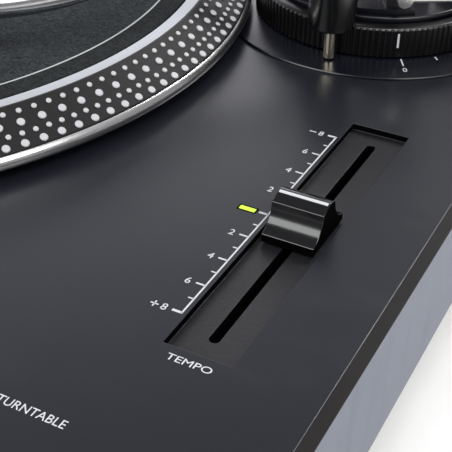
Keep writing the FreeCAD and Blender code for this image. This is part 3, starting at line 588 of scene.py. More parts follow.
# --- Finishes operator ------------------------------------------------------
class TURNTABLE_OT_finishes(bpy.types.Operator):
    """Make the shared node groups and every finish"""

    bl_idname = "turntable.finishes"
    bl_label = "Finishes"

    def execute(self, context):
        tone = context.scene.turntable_finish
        GROUPS.update(worked=worked_surface(), turned=turned_lines(), dust=dust_specks())
        self.case(tone)
        self.platter(tone)
        self.controls(tone)
        self.arm()
        self.inner_parts()
        make_felt("mat felt", tuple(tone.felt), context.scene.turntable_platter.ring_radius)
        return {"FINISHED"}

    def case(self, tone):
        fine = {"grain": 2600.0, "depth": 12 * MICRON}
        make_finish("deck satin", tone.deck, 0.29, mottle=0.10, **fine)
        make_finish("side satin", tone.side, 0.42, metallic=0.3, mottle=0.10, **fine)
        # The bevel's satin is a browner copy of the deck's; the brown tint is a painted reflection.
        make_finish("bevel satin with painted reflection", (0.0088, 0.0075, 0.0065), 0.34, mottle=0.05, **fine)
        # A bright metallic colour on the rounding where the deck meets the bevel: a painted highlight line.
        make_finish("painted edge highlight", (0.130, 0.138, 0.155), 0.30, metallic=0.5, depth=3 * MICRON)
        make_finish("recess satin", (0.0078, 0.0079, 0.0100), 0.38, grain=1100.0, depth=60 * MICRON,
                    mottle=0.25)
        # Near-black with almost no shine: painted shade for the slot, the recess walls, the knob's sides and
        # the gap round the zero lamp.
        make_finish("painted shade black", (0.001, 0.001, 0.001), 0.7, grain=1900.0, mottle=0.2, Specular_IOR_Level=0.02)
        make_finish("tray plastic", (0.018, 0.018, 0.019), 0.55, grain=1600.0, depth=30 * MICRON, mottle=0.12)
        make_finish("foot rubber", (0.014, 0.014, 0.015), 0.62, grain=1100.0, depth=50 * MICRON, mottle=0.15,
                    dust=0.02)
        make_finish("print white", tone.print, 0.55, grain=2600.0, mottle=0.05)
        make_finish("print silver", (0.34, 0.36, 0.36), 0.5, grain=2600.0, mottle=0.10)
        make_finish("print dark", (0.03, 0.03, 0.032), 0.5, grain=2600.0)

    def platter(self, tone):
        make_finish("band black", tone.band, 0.5, grain=2000.0, mottle=0.25, Specular_IOR_Level=0.25,
                    lines=(3200.0, 6 * MICRON, SPINDLE, FLAT))
        make_finish("dot metal", tone.dots, 0.5, metallic=0.15, grain=2400.0, mottle=0.05, smudge=0.04)
        make_finish("rim metal", tone.metal, 0.25, metallic=1.0, depth=1 * MICRON, mottle=0.02, smudge=0.02)
        make_finish("ring metal", (0.43, 0.445, 0.475), 0.46, metallic=0.45, mottle=0.03,
                    lines=(2600.0, 10 * MICRON, SPINDLE, FLAT))
        make_finish("cast metal", (0.52, 0.52, 0.53), 0.45, metallic=1.0, grain=500.0, depth=50 * MICRON,
                    mottle=0.08)

    def controls(self, tone):
        make_finish("knob gloss", tone.knob, 0.17, grain=900.0, depth=4 * MICRON, Specular_IOR_Level=0.7)
        make_finish("zero lamp", tone.lamp, 0.30, grain=700.0, Emission_Color=(*tone.lamp, 1.0),
                    Emission_Strength=0.38)
        make_finish("dial metal", (0.36, 0.36, 0.37), 0.33, metallic=1.0,
                    lines=(2000.0, 10 * MICRON, POWER, FLAT))
        make_finish("adapter metal", (0.46, 0.46, 0.455), 0.32, metallic=1.0,
                    lines=(2400.0, 10 * MICRON, middle("adapter_45"), FLAT))
        make_finish("key silver", (0.50, 0.50, 0.51), 0.36, metallic=0.6, grain=2200.0)
        make_finish("strobe lens", (0.75, 0.02, 0.015), 0.12, smudge=0.03, Transmission_Weight=0.5,
                    Emission_Color=(1.0, 0.04, 0.02, 1.0), Emission_Strength=0.35)

    def arm(self):
        place, along = (PIVOT.x, PIVOT.y, ARM_HEIGHT), (0, math.pi / 2, ARM_TURN)
        make_finish("lever satin", (0.020, 0.020, 0.021), 0.36, grain=1500.0, smudge=0.08)
        make_finish("chrome", (0.62, 0.62, 0.61), 0.12, metallic=1.0, mottle=0.01, smudge=0.06)
        make_finish("post nickel", (0.78, 0.71, 0.57), 0.12, metallic=1.0, mottle=0.02, smudge=0.06)
        make_finish("ring anodised", (0.0030, 0.0030, 0.0036), 0.28, metallic=0.2, mottle=0.10, smudge=0.06)
        make_finish("base enamel", (0.0032, 0.0036, 0.0068), 0.24, grain=2400.0, depth=12 * MICRON, mottle=0.08)
        make_finish("arm bright", (0.52, 0.52, 0.53), 0.24, metallic=1.0, mottle=0.02)
        make_finish("arm satin", (0.42, 0.42, 0.43), 0.36, metallic=1.0, mottle=0.04)
        make_finish("weight steel", (0.40, 0.40, 0.41), 0.30, metallic=1.0,
                    lines=(2200.0, 10 * MICRON, place, along))
        make_finish("cartridge", (0.022, 0.022, 0.025), 0.28, grain=1500.0, smudge=0.08)
        make_finish("stylus white", (0.72, 0.72, 0.70), 0.35)

    def inner_parts(self):
        make_finish("screw steel", (0.56, 0.56, 0.57), 0.33, metallic=1.0)
        make_finish("gilt", (0.83, 0.62, 0.24), 0.22, metallic=1.0)
        make_finish("bronze", (0.50, 0.34, 0.16), 0.38, metallic=1.0)
        make_finish("board green", (0.012, 0.10, 0.045), 0.42, grain=700.0, mottle=0.2)
        make_finish("coil copper", (0.60, 0.24, 0.10), 0.35, metallic=1.0,
                    lines=(1500.0, 50 * MICRON, SPINDLE, FLAT))
        make_finish("ferrite", (0.05, 0.05, 0.052), 0.6, metallic=0.3, grain=900.0, depth=40 * MICRON,
                    mottle=0.2)
        make_finish("core iron", (0.10, 0.09, 0.08), 0.5, metallic=0.7, grain=600.0, mottle=0.25)
        make_finish("jack red", (0.55, 0.02, 0.02), 0.35)


# --- Pieces -----------------------------------------------------------------
# The dotted band's outer and inner edge: radius and height above the deck, in millimetres.
DOT_BAND = ((164.15, 8.62), (151.5, 16.45))
# Rows of dots: how many, how far out, the first one's angle, and whether its dots are large.
DOT_ROWS = ((180, 153.15, -27.83, False), (133, 156.50, -26.26, True), (216, 159.76, -28.43, False),
            (160, 162.73, -29.25, True))
# The arm base plate's slope from its inner to its outer edge, in the same measure.
PLATE_SLOPE = ((48.6, 2.2), (59.7, 0.98))
# Where the arm's printed index stands, and the height scale's first mark and step, in degrees.
ARM_INDEX = -59.4
SCALE_START, SCALE_STEP = -57.4, 15.5


class TURNTABLE_OT_case(bpy.types.Operator):
    """Round the case's edges and give it its feet and screws"""

    bl_idname = "turntable.case"
    bl_label = "Case and feet"

    def execute(self, context):
        size = context.scene.turntable_case
        shell = from_frame("top_shell", size.edge / MM, 3)
        coat(shell, "deck satin", "side satin", "bevel satin with painted reflection", "recess satin", "painted shade black", "painted edge highlight")
        margin = Vector((4 * MM, 4 * MM, 0))
        low, high = MODEL_BOX[0] + margin, MODEL_BOX[1] - margin

        def at_edge(c):
            return not (low.x < c.x < high.x and low.y < c.y < high.y)

        def in_recess(c, depth):
            beside = abs(c.x - SLIDER.x) < 11.5 * MM and abs(c.y - SLIDER.y) < 70 * MM
            return beside and c.z < DECK - depth * MM

        # The outer bevel faces take the satin whose brown tint is a painted reflection.
        coat_faces(shell, 2, lambda c, n: 0.3 < n.z < 0.98 and at_edge(c))
        coat_faces(shell, 1, lambda c, n: abs(n.z) <= 0.3 and at_edge(c))
        coat_faces(shell, 3, lambda c, n: in_recess(c, 0.2))
        # The recess's deeper walls are near-black: painted shade.
        coat_faces(shell, 4, lambda c, n: abs(n.z) < 0.3 and in_recess(c, 0.6))
        # The rounding between the deck and the bevel takes the painted edge highlight.
        coat_faces(shell, 5, lambda c, n: 0.8 < n.z < 0.98 and at_edge(c))
        hand_over(shell, "plinth", "shell", "top_shell")
        refine("base_tray", "plinth", "tray plastic", "tray", 0.5)
        refine("hinge_sockets", "plinth", "tray plastic", "tray", 0.4)
        for corner in ("front_left", "front_right", "back_left", "back_right"):
            self.foot(corner, size.foot_grooves)
        return {"FINISHED"}

    def foot(self, corner, grooves):
        node = f"foot_{corner}"
        profile = [(0, 0.4), (15.5, 0.4), (16, 0), *bow(20.9, 1.6, 1.6, -90, 0, 4), (22.5, 3.8), (23.6, 4.2),
                   *bow(20.5, 12, 6.5, -60, -22, 4)]
        for index in range(grooves):
            low = 10.2 + index * 6.0 / grooves
            profile += [(26.95, low), (26.95, low + 3.4 / grooves),
                        (26.2, low + 4.0 / grooves), (26.2, low + 5.4 / grooves)]
        profile += [(26.8, 16.6), *bow(22.6, 17.2, 3.6, 5, 82, 6), (12, 21.6), (9, 22.0), (4, 22.0),
                    (4, 41.5), (3.5, 42), (0, 42)]
        centre = middle(node).xy.to_3d()
        foot = lathe(f"{node}_cup", profile, centre, 72)
        round_edges(foot, 0.25 * MM)
        coat(foot, "foot rubber", "screw steel")
        coat_faces(foot, 1, lambda c, n: (c.xy - centre.xy).length < 4.2 * MM and c.z > 21.5 * MM)
        hand_over(foot, node, "foot_rubber", node)


class TURNTABLE_OT_platter(bpy.types.Operator):
    """Turn the platter with its bright rim, dark band and silver ring, and set the dots"""

    bl_idname = "turntable.platter"
    bl_label = "Platter"

    def execute(self, context):
        size = context.scene.turntable_platter
        deck = DECK / MM
        self.turned(deck)
        self.dots(size, deck)
        refine("spindle", "platter", "chrome", "polished_steel", 0.25, 40)
        return {"FINISHED"}

    def turned(self, deck):
        """The platter's section, from the hub out along its underside and back over the dotted band."""
        (outer, foot), (inner, crest) = DOT_BAND
        profile = [(4, deck), (45.4, deck), (46, deck + 0.6), (46, deck + 10), (118, deck + 10),
                   (118, deck + 5),
                   (123, deck + 5), (123, deck + 10), (149, deck + 10), (158.5, deck + 3.2),
                   *bow(163.25, deck + 5.8, 2.75, -90, 62, 14), (164.30, deck + 8.12), (164.15, deck + 8.55)]
        profile += [(outer + (inner - outer) * t, deck + foot + (crest - foot) * t) for t in (0.02, 0.5, 1.0)]
        profile += [*bow(150.9, deck + 16.35, 0.40, 61.37, 95, 4), (150.2, deck + 16.75), (146.2, deck + 16.75),
                    *bow(146.05, deck + 16.40, 0.35, 90, 180, 3), (145.7, deck + 14), (4, deck + 14), (4, deck)]
        platter = smooth(lathe("platter_turned", profile, SPINDLE, 288), 28)
        coat(platter, "cast metal", "rim metal", "band black", "ring metal")

        def lies(c, near, far):
            return near < (c.xy - SPINDLE.xy).length / MM <= far

        coat_faces(platter, 1, lambda c, n: lies(c, 163.2, 170) and c.z < DECK + 8.4 * MM)
        coat_faces(platter, 2, lambda c, n: lies(c, 150.35, 164.45) and c.z > DECK + 8.1 * MM)
        coat_faces(platter, 3, lambda c, n: lies(c, 145.6, 150.35) and c.z > DECK + 14.1 * MM)
        hand_over(platter, "platter", "platter_metal", "platter")

    def dots(self, size, deck):
        """Four rows of studs on the band's slope."""
        (outer, foot), (inner, crest) = DOT_BAND
        slope = (crest - foot) / (outer - inner)
        made = []
        for count, out, first, large in DOT_ROWS:
            dot = disc_dot("dot", size.large_dot if large else size.small_dot, size.dot_height)
            height = deck + foot + (outer - out) * slope
            set_down(dot, (out * MM, 0, height * MM - 40 * MICRON), (0, math.atan(slope), 0))
            made.append(set_down(repeat_round(dot, count), SPINDLE, (0, 0, math.radians(first))))
        hand_over(coat(smooth(join("strobe_dots", made)), "dot metal"), "platter", "platter_metal")


class TURNTABLE_OT_mat(bpy.types.Operator):
    """Lay the felt mat with its printed ring"""

    bl_idname = "turntable.mat"
    bl_label = "Felt mat"

    def execute(self, context):
        size = context.scene.turntable_platter
        low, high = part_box("slipmat")
        outer, under, top = (high.x - low.x) / 2 / MM, low.z / MM, high.z / MM
        face = [(outer - 0.9 - (outer - 6.6) * i / 24, top - 0.03 * (i % 3)) for i in range(25)]
        profile = [(4.2, under), (outer - 0.5, under), *bow(outer - 0.75, under + 0.75, 0.75, -60, 0, 3),
                   *bow(outer - 0.9, top - 0.9, 0.9, 0, 75, 4), *face, (4.9, top - 0.1), (4.3, top - 0.6),
                   (4.2, under)]
        mat = smooth(lathe("felt_mat", profile, SPINDLE, 192), 60)
        hand_over(coat(mat, "mat felt"), "platter", "mat_felt", "slipmat")
        half = size.ring_width / 2 / MM
        mean = size.ring_radius / MM
        ring = lathe("mat_ring_print", [
            (mean - half, top - 0.1), (mean + half, top - 0.1), (mean + half, top + 0.03), (mean, top + 0.05),
            (mean - half, top + 0.03), (mean - half, top - 0.1)], SPINDLE, 240)
        hand_over(coat(smooth(ring), "print silver"), "platter", "mat_felt")
        return {"FINISHED"}


class TURNTABLE_OT_tempo(bpy.types.Operator):
    """Model the tempo knob, its scale and its zero lamp"""

    bl_idname = "turntable.tempo"
    bl_label = "Tempo slider"

    def execute(self, context):
        self.knob()
        self.scale(context.scene.turntable_tempo)
        self.lamp()
        # The fader body under the slot is near-black: painted shade.
        refine("fader_body", "plinth", "painted shade black", "tray", 0.3)
        return {"FINISHED"}

    def knob(self):
        low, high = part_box("tempo_knob")
        zero, deck = SLIDER.y / MM, DECK / MM
        crest_front, crest_back = (zero - 4.7, deck + 8.4), (zero + 3.4, deck + 8.9)
        side = [(low.y / MM, deck - 1.6), (low.y / MM, deck + 0.7), (zero - 10.9, deck + 1.0),
                *hollow((zero - 10.6, deck + 1.15), crest_front, 0.30, 10),
                (zero - 1.0, deck + 9.9), (zero + 0.4, deck + 10.0), (zero + 1.8, deck + 9.8),
                *hollow(crest_back, (zero + 10.2, deck + 0.8), 0.30, 10),
                (high.y / MM, deck + 0.4), (high.y / MM, deck - 1.6)]
        points = [Vector((low.x, y * MM, z * MM)) for y, z in side]
        knob = round_edges(prism("tempo_cap", points, Vector((high.x - low.x, 0, 0))), 0.28 * MM, 3, 26)
        coat(knob, "knob gloss", "painted shade black")
        # The knob's sides and its foot down in the slot are near-black: painted shade.
        coat_faces(knob, 1, lambda c, n: abs(n.x) > 0.9 or c.z < DECK + 0.9 * MM)
        hand_over(knob, "tempo_slider", "knob_black", "tempo_knob")
        x0, x1 = low.x / MM + 0.5, high.x / MM - 0.5
        corners = ((-1.35, 9.80), (-0.25, 9.98), (-0.25, 10.07), (-1.35, 9.89))
        line = prism("tempo_index_line", [Vector((x0, zero + y, deck + z)) * MM for y, z in corners],
                     Vector(((x1 - x0) * MM, 0, 0)))
        hand_over(coat(line, "print white"), "tempo_slider", "knob_black")

    def lamp(self):
        """The lens, standing in a thin black sheet that paints the shade of the gap round it."""
        low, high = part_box("tempo_led")
        grown = Vector((0.5 * MM, 0.5 * MM, 0))
        lens = self.block("zero_lens", low, high, high.z)
        hand_over(coat(round_edges(lens, 0.22 * MM, 3), "zero lamp"), "plinth", "led_lime", "tempo_led")
        # A thin black sheet round the lens: painted shade of the gap.
        gasket = self.block("zero_lamp_gap_shade", low - grown, high + grown, DECK + 30 * MICRON)
        hand_over(coat(smooth(gasket), "painted shade black"), "plinth", "tray")

    def block(self, name, low, high, top):
        """A box sunk a millimetre into the deck and standing up to a height."""
        corners = ((low.x, low.y), (high.x, low.y), (high.x, high.y), (low.x, high.y))
        return prism(name, [Vector((x, y, DECK - MM)) for x, y in corners], Vector((0, 0, top - DECK + MM)))

    def scale(self, size):
        deck, line_x, zero = DECK / MM, SLIDER.x / MM - 11.1, SLIDER.y / MM - 0.2
        span_mm, half = size.half_span / MM, size.line / 2 / MM
        marks = [bar("mark", line_x - half, line_x + half, zero - span_mm - 0.4, zero + span_mm + 0.4, deck)]
        for value in range(-8, 9):
            at = zero - value * span_mm / 8
            even = value % 2 == 0
            long = 2.9 if even else 1.7
            thick = 0.42 if value in (-8, 0, 8) else 0.30 if even else 0.22
            marks.append(bar("mark", line_x - long, line_x, at - thick, at + thick, deck))
            if value and even:
                digit = lettering("digit", str(abs(value)), size.digit / MM)
                marks.append(set_down(digit, Vector((line_x - 5.25, at, deck)) * MM))
        for sign, y in (("+", zero - span_mm), ("-", zero + span_mm)):
            marks.append(bar("mark", line_x - 9.4, line_x - 7.0, y - 0.2, y + 0.2, deck))
            if sign == "+":
                marks.append(bar("mark", line_x - 8.4, line_x - 8.0, y - 1.2, y + 1.2, deck))
        marks.append(set_down(lettering("word", "TEMPO", 2.3, 12.6), Vector((187.5, -127.15, deck)) * MM))
        marks.append(set_down(lettering("word", "TURNTABLE", 2.6, 19.3), Vector((163.45, -158.65, deck)) * MM))
        hand_over(coat(join("tempo_scale_print", marks), "print white"), "plinth", "shell")


class TURNTABLE_OT_keys(bpy.types.Operator):
    """Finish the keys, the power dial with its strobe tower, and the parked adapter"""

    bl_idname = "turntable.keys"
    bl_label = "Keys and power dial"

    def execute(self, context):
        for node, body, word, height in (
            ("start_stop_button", "start_button", "START STOP", 2.3),
            ("speed_33_button", "button_33", "33", 2.6),
            ("speed_45_button", "button_45", "45", 2.6),
        ):
            refine(node, body, "key silver", "key_plastic", 0.25)
            top = Vector((*middle(node).xy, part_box(node)[1].z - 10 * MICRON))
            print_ = set_down(lettering(f"{node}_print", word, height), top)
            hand_over(coat(print_, "print dark"), body, "key_plastic")
        self.dial()
        self.adapter()
        return {"FINISHED"}

    def dial(self):
        deck = DECK / MM
        ring = lathe("power_dial_ring", [
            (12.2, deck - 14), (14, deck - 14), (14, deck + 0.5), (17.6, deck + 0.5), (17.6, deck + 8.3),
            (17.0, deck + 9.3), (15.8, deck + 10), (13.0, deck + 10), (12.2, deck + 9.4),
            (12.2, deck - 14)], POWER, 96)
        round_edges(ring, 0.2 * MM)
        ribs = set_down(repeat_round(rib("dial_rib", 0.45, deck + 0.9, deck + 8.4, 17.55), 60), POWER)
        pointer = bar("dial_pointer", 14.2, 16.6, -0.4, 0.4, deck + 10 - 0.02)
        set_down(pointer, POWER, (0, 0, math.radians(60)))
        parts = [coat(ribs, "dial metal"), coat(pointer, "print white"), coat(ring, "dial metal")]
        hand_over(join("power_dial_turned", parts), "power_dial", "dial_metal", "power_dial")
        refine("strobe_tower", "plinth", "knob gloss", "knob_black", 0.35)
        coat(frame["nodes"]["strobe_window"], "strobe lens")
        words = []
        for word, angle in (("ON", 62.0), ("OFF", 102.0)):
            turn = math.radians(angle)
            at = POWER + Vector((math.cos(turn), math.sin(turn), 0)) * 22.5 * MM
            words.append(set_down(lettering("word", word, 2.2), (at.x, at.y, DECK)))
        hand_over(coat(join("power_print", words), "print white"), "plinth", "shell")

    def adapter(self):
        low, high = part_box("adapter_45")
        base, top = low.z / MM, high.z / MM
        profile = [(3.65, base), (18.4, base), (19, base + 0.6), (19, base + 1.6), (18.3, base + 2.1),
                   (18.3, base + 2.9),
                   (19, base + 3.4), (19, base + 6.6), (18.4, base + 7.4), (16.6, top), (13.4, top),
                   (12.6, top - 0.9),
                   (8.6, top - 0.9), (7.8, top), (4.2, top), (3.65, top - 0.5), (3.65, base)]
        adapter = round_edges(lathe("adapter_turned", profile, middle("adapter_45").xy.to_3d(), 96), 0.18 * MM)
        hand_over(coat(adapter, "adapter metal"), "adapter", "adapter_metal", "adapter_45")


class TURNTABLE_OT_arm_base(bpy.types.Operator):
    """Model the numbered base plate, the ribbed height ring, the rest and the arm's lift and dials"""

    bl_idname = "turntable.arm_base"
    bl_label = "Tonearm base"

    def execute(self, context):
        size = context.scene.turntable_tonearm
        deck, edge = DECK / MM, size.edge / MM
        plate = lathe("base_plate_turned", [
            (43.2, deck), (60.7, deck), (60.7, deck + 0.62), (60.5, deck + 0.95), (60.2, deck + 1.02),
            (59.7, deck + 0.98), (48.6, deck + 2.2), (43.2, deck + 2.2), (43.2, deck)], PIVOT, 240)
        hand_over(coat(smooth(plate, 24), "base enamel"), "plinth", "arm_paint", "arm_base_plate")
        self.numbers(deck)
        self.ring(deck, size.ribs)
        rest = middle("rest_post").xy.to_3d()
        post = lathe("rest_post_turned", [(0, deck + 2.2), (1.95, deck + 2.2), (2.2, deck + 2.5),
                                          (2.2, deck + 14.8), (0, deck + 14.8)], rest, 48)
        hand_over(coat(smooth(post), "post nickel"), "plinth", "polished_steel", "rest_post")
        for node, body, finish, slot, width in (
            ("rest_block", "plinth", "knob gloss", "knob_black", 0.45),
            ("rest_clip", "rest_clip", "knob gloss", "knob_black", 0.25),
            ("arm_column", "arm_base", "base enamel", "arm_paint", edge),
            ("gimbal_bridge", "arm_base", "arm satin", "arm_metal", edge),
            ("anti_skate_housing", "arm_base", "base enamel", "arm_paint", edge),
            ("cue_housing", "arm_base", "base enamel", "arm_paint", edge),
            ("cue_lever", "cue_lever", "chrome", "polished_steel", 0.3),
            ("lift_platform", "lift_platform", "lever satin", "arm_paint", edge),
        ):
            refine(node, body, finish, slot, width)
        self.dial()
        return {"FINISHED"}

    def numbers(self, deck):
        """Marks every half millimetre of rise and a number every millimetre, round the plate."""
        marks = []
        for step in range(13):
            angle = SCALE_START + SCALE_STEP * step
            whole = step % 2 == 0
            half, out = (2.2, 50.4) if whole else (1.0, 49.7)
            marks.append(self.lay(bar("mark", -0.27, 0.27, -half, half, 0), out, deck, angle))
            if whole:
                marks.append(self.lay(lettering("digit", str(step // 2), 2.5), 55.2, deck, angle))
        hand_over(coat(join("height_scale_print", marks), "print white"), "plinth", "arm_paint")

    def lay(self, mark, out, deck, angle):
        """Lays a mark on the plate's slope at this angle, its foot pointing outwards."""
        (inner, crest), (outer, foot) = PLATE_SLOPE
        fall = math.atan2(crest - foot, outer - inner)
        height = deck + crest - math.tan(fall) * (out - inner)
        set_down(mark, turn=(fall, 0, 0))
        set_down(mark, (0, -out * MM, height * MM + 10 * MICRON))
        return set_down(mark, PIVOT, (0, 0, math.radians(angle) + math.pi / 2))

    def ring(self, deck, count):
        body = lathe("height_ring_turned", [
            (42.8, deck + 2.6), (47.0, deck + 2.6), (47.3, deck + 2.9), (47.3, deck + 12.9),
            (46.6, deck + 13.7),
            (45.6, deck + 14), (42.8, deck + 14), (42.8, deck + 2.6)], PIVOT, 132)
        round_edges(body, 0.2 * MM)
        heading = (0, 0, math.radians(ARM_INDEX))
        ribs = repeat_round(rib("ring_rib", 0.74, deck + 2.9, deck + 13.55, 47.22), count)
        smooth(set_down(ribs, PIVOT, heading), 50)
        corners = ((-0.38, 6.8), (0.38, 6.8), (0.38, 12.3), (-0.38, 12.3))
        index = prism("ring_index", [Vector((47.95, y, deck + z)) * MM for y, z in corners],
                      Vector((0.07 * MM, 0, 0)))
        set_down(index, PIVOT, heading)
        parts = [coat(ribs, "ring anodised"), coat(index, "print white"), coat(body, "ring anodised")]
        hand_over(join("height_ring_ribbed", parts), "height_ring", "ring_black", "height_ring")

    def dial(self):
        low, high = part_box("anti_skate_dial")
        at, base, top = middle("anti_skate_dial").xy.to_3d(), low.z / MM, high.z / MM
        knob = lathe("anti_skate_knob",
                     [(0, base), (8.0, base), (8.2, base + 0.2), (8.2, top - 1.0), (7.6, top - 0.2),
                                         (7.0, top), (4.4, top), (4.0, top - 0.35), (0, top - 0.35)], at, 72)
        round_edges(knob, 0.15 * MM)
        ribs = set_down(repeat_round(rib("knob_rib", 0.36, base + 0.4, top - 0.9, 8.12), 48), at)
        parts = []
        for value in range(8):
            digit = lettering("digit", str(value), 1.25, thick=0.04)
            set_down(digit, (0, -5.7 * MM, top * MM - 10 * MICRON))
            set_down(digit, at, (0, 0, math.radians(-40 * value - 35)))
            parts.append(coat(digit, "print white"))
        parts += [coat(ribs, "ring anodised"), coat(knob, "ring anodised")]
        hand_over(join("anti_skate_turned", parts), "anti_skate_dial", "ring_black", "anti_skate_dial")


class TURNTABLE_OT_tonearm(bpy.types.Operator):
    """Finish the arm: gimbal, tube, headshell, cartridge, counterweight and force dial"""

    bl_idname = "turntable.tonearm"
    bl_label = "Tonearm"

    def execute(self, context):
        edge = context.scene.turntable_tonearm.edge / MM
        for node, body, finish, slot, width in (
            ("gimbal_ring", "gimbal", "arm satin", "arm_metal", edge),
            ("pivot_block", "tonearm", "arm bright", "arm_metal", edge),
            ("arm_tube", "tonearm", "arm bright", "arm_metal", 0.2),
            ("rear_shaft", "tonearm", "arm bright", "arm_metal", 0.4),
            ("locking_collar", "locking_collar", "chrome", "polished_steel", 0.4),
            ("headshell", "headshell", "arm satin", "arm_metal", 0.3),
            ("cartridge", "headshell", "cartridge", "cartridge_black", 0.3),
            ("damping_sleeve", "weight_sleeve", "lever satin", "arm_metal", 0.3),
        ):
            refine(node, body, finish, slot, width)
        self.weight()
        return {"FINISHED"}

    def weight(self):
        """The counterweight and its dial, turned about +X; distances are measured back from the pivot."""
        along = (0, math.pi / 2, 0)
        weight = lathe("counterweight_turned", [
            (8.55, -69), (12.4, -69), (13.2, -68.4), (13.2, -66.6), (12.7, -66.2), (12.7, -65.8), (13.7, -65.2),
            (13.7, -57.6), (12.9, -57.0), (12.9, -56.6), (13.9, -56.0), (13.9, -54.5), (13.4, -54), (10, -54),
            (10, -50.5), (9.7, -50.4), (8.55, -50.4), (8.55, -69)])
        round_edges(weight, 0.18 * MM)
        ribs = repeat_round(rib("weight_rib", 0.34, -65.0, -57.8, 13.66), 90)
        weight = join("counterweight_ribbed", [coat(ribs, "weight steel"), coat(weight, "weight steel")])
        on_arm(set_down(weight, turn=along))
        hand_over(weight, "counterweight", "weight_metal", "counterweight")
        dial = lathe("force_dial_ring", [
            (10.05, -53.8), (12.5, -53.8), (12.8, -53.5), (12.8, -52.9), (12.2, -50.9), (11.8, -50.6),
            (10.05, -50.6), (10.05, -53.8)])
        round_edges(dial, 0.12 * MM)
        ticks = bar("mark", -0.13, 0.13, -0.75, 0.75, 0, 0.04)
        set_down(ticks, (12.42 * MM, 0, -52.0 * MM), (math.pi / 2, 0, math.pi / 2))
        repeat_round(ticks, 35)
        dial = join("force_dial_marked", [coat(ticks, "print white"), coat(dial, "ring anodised")])
        on_arm(set_down(dial, turn=along))
        hand_over(dial, "force_dial", "ring_black", "force_dial")


class TURNTABLE_OT_back(bpy.types.Operator):
    """Finish the connector bay and give every remaining node its finish"""

    bl_idname = "turntable.back"
    bl_label = "Back and inner parts"

    def execute(self, context):
        refine("terminal_panel", "plinth", "tray plastic", "tray", 0.3)
        refine("power_inlet", "plinth", "tray plastic", "tray", 0.25)
        refine("rca_jacks", "plinth", "gilt", "jack_gold", 0.2)
        self.insulators()
        self.words()
        refine("ground_screw", "plinth", "chrome", "polished_steel", 0.4)
        for key, nodes in {
            "screw steel": ("case_screws", "fader_stem"), "cast metal": ("motor_frame",),
            "bronze": ("bearing_housing",), "board green": ("motor_board", "control_board", "main_board"),
            "coil copper": ("stator_coils",), "ferrite": ("rotor_magnet",), "tray plastic": ("power_switch",),
            "core iron": ("power_transformer",), "key silver": ("output_switch",), "chrome": ("pivot_axle",),
            "stylus white": ("stylus",),
        }.items():
            for node in nodes:
                coat(frame["nodes"][node], key)
        return {"FINISHED"}

    def insulators(self):
        """A coloured collar round each phono jack."""
        low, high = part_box("rca_jacks")
        centre_z = (low.z + high.z) / 2
        for name, x, key in (("jack_collar_left", low.x + 6 * MM, "stylus white"),
                             ("jack_collar_right", high.x - 6 * MM, "jack red")):
            profile = [(4.25, 0), (5.6, 0), (5.6, 1.5), (5.2, 2.0), (4.25, 2.0), (4.25, 0)]
            collar = round_edges(lathe(name, profile, steps=48), 0.15 * MM)
            set_down(collar, (x, low.y + 11.6 * MM, centre_z), (-math.pi / 2, 0, 0))
            hand_over(coat(collar, key), "plinth", "jack_gold")

    def words(self):
        """Generic labels on the bay's inner wall, read from behind."""
        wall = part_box("terminal_panel")[0].y + 2 * MM
        marks = []
        for word, x in (("L", -44), ("R", -30), ("GND", -12), ("OUTPUT", 8)):
            mark = lettering("word", word, 1.8)
            marks.append(set_down(mark, (x * MM, wall - 10 * MICRON, 61.6 * MM), (math.pi / 2, 0, math.pi)))
        hand_over(coat(join("bay_print", marks), "print white"), "plinth", "tray")


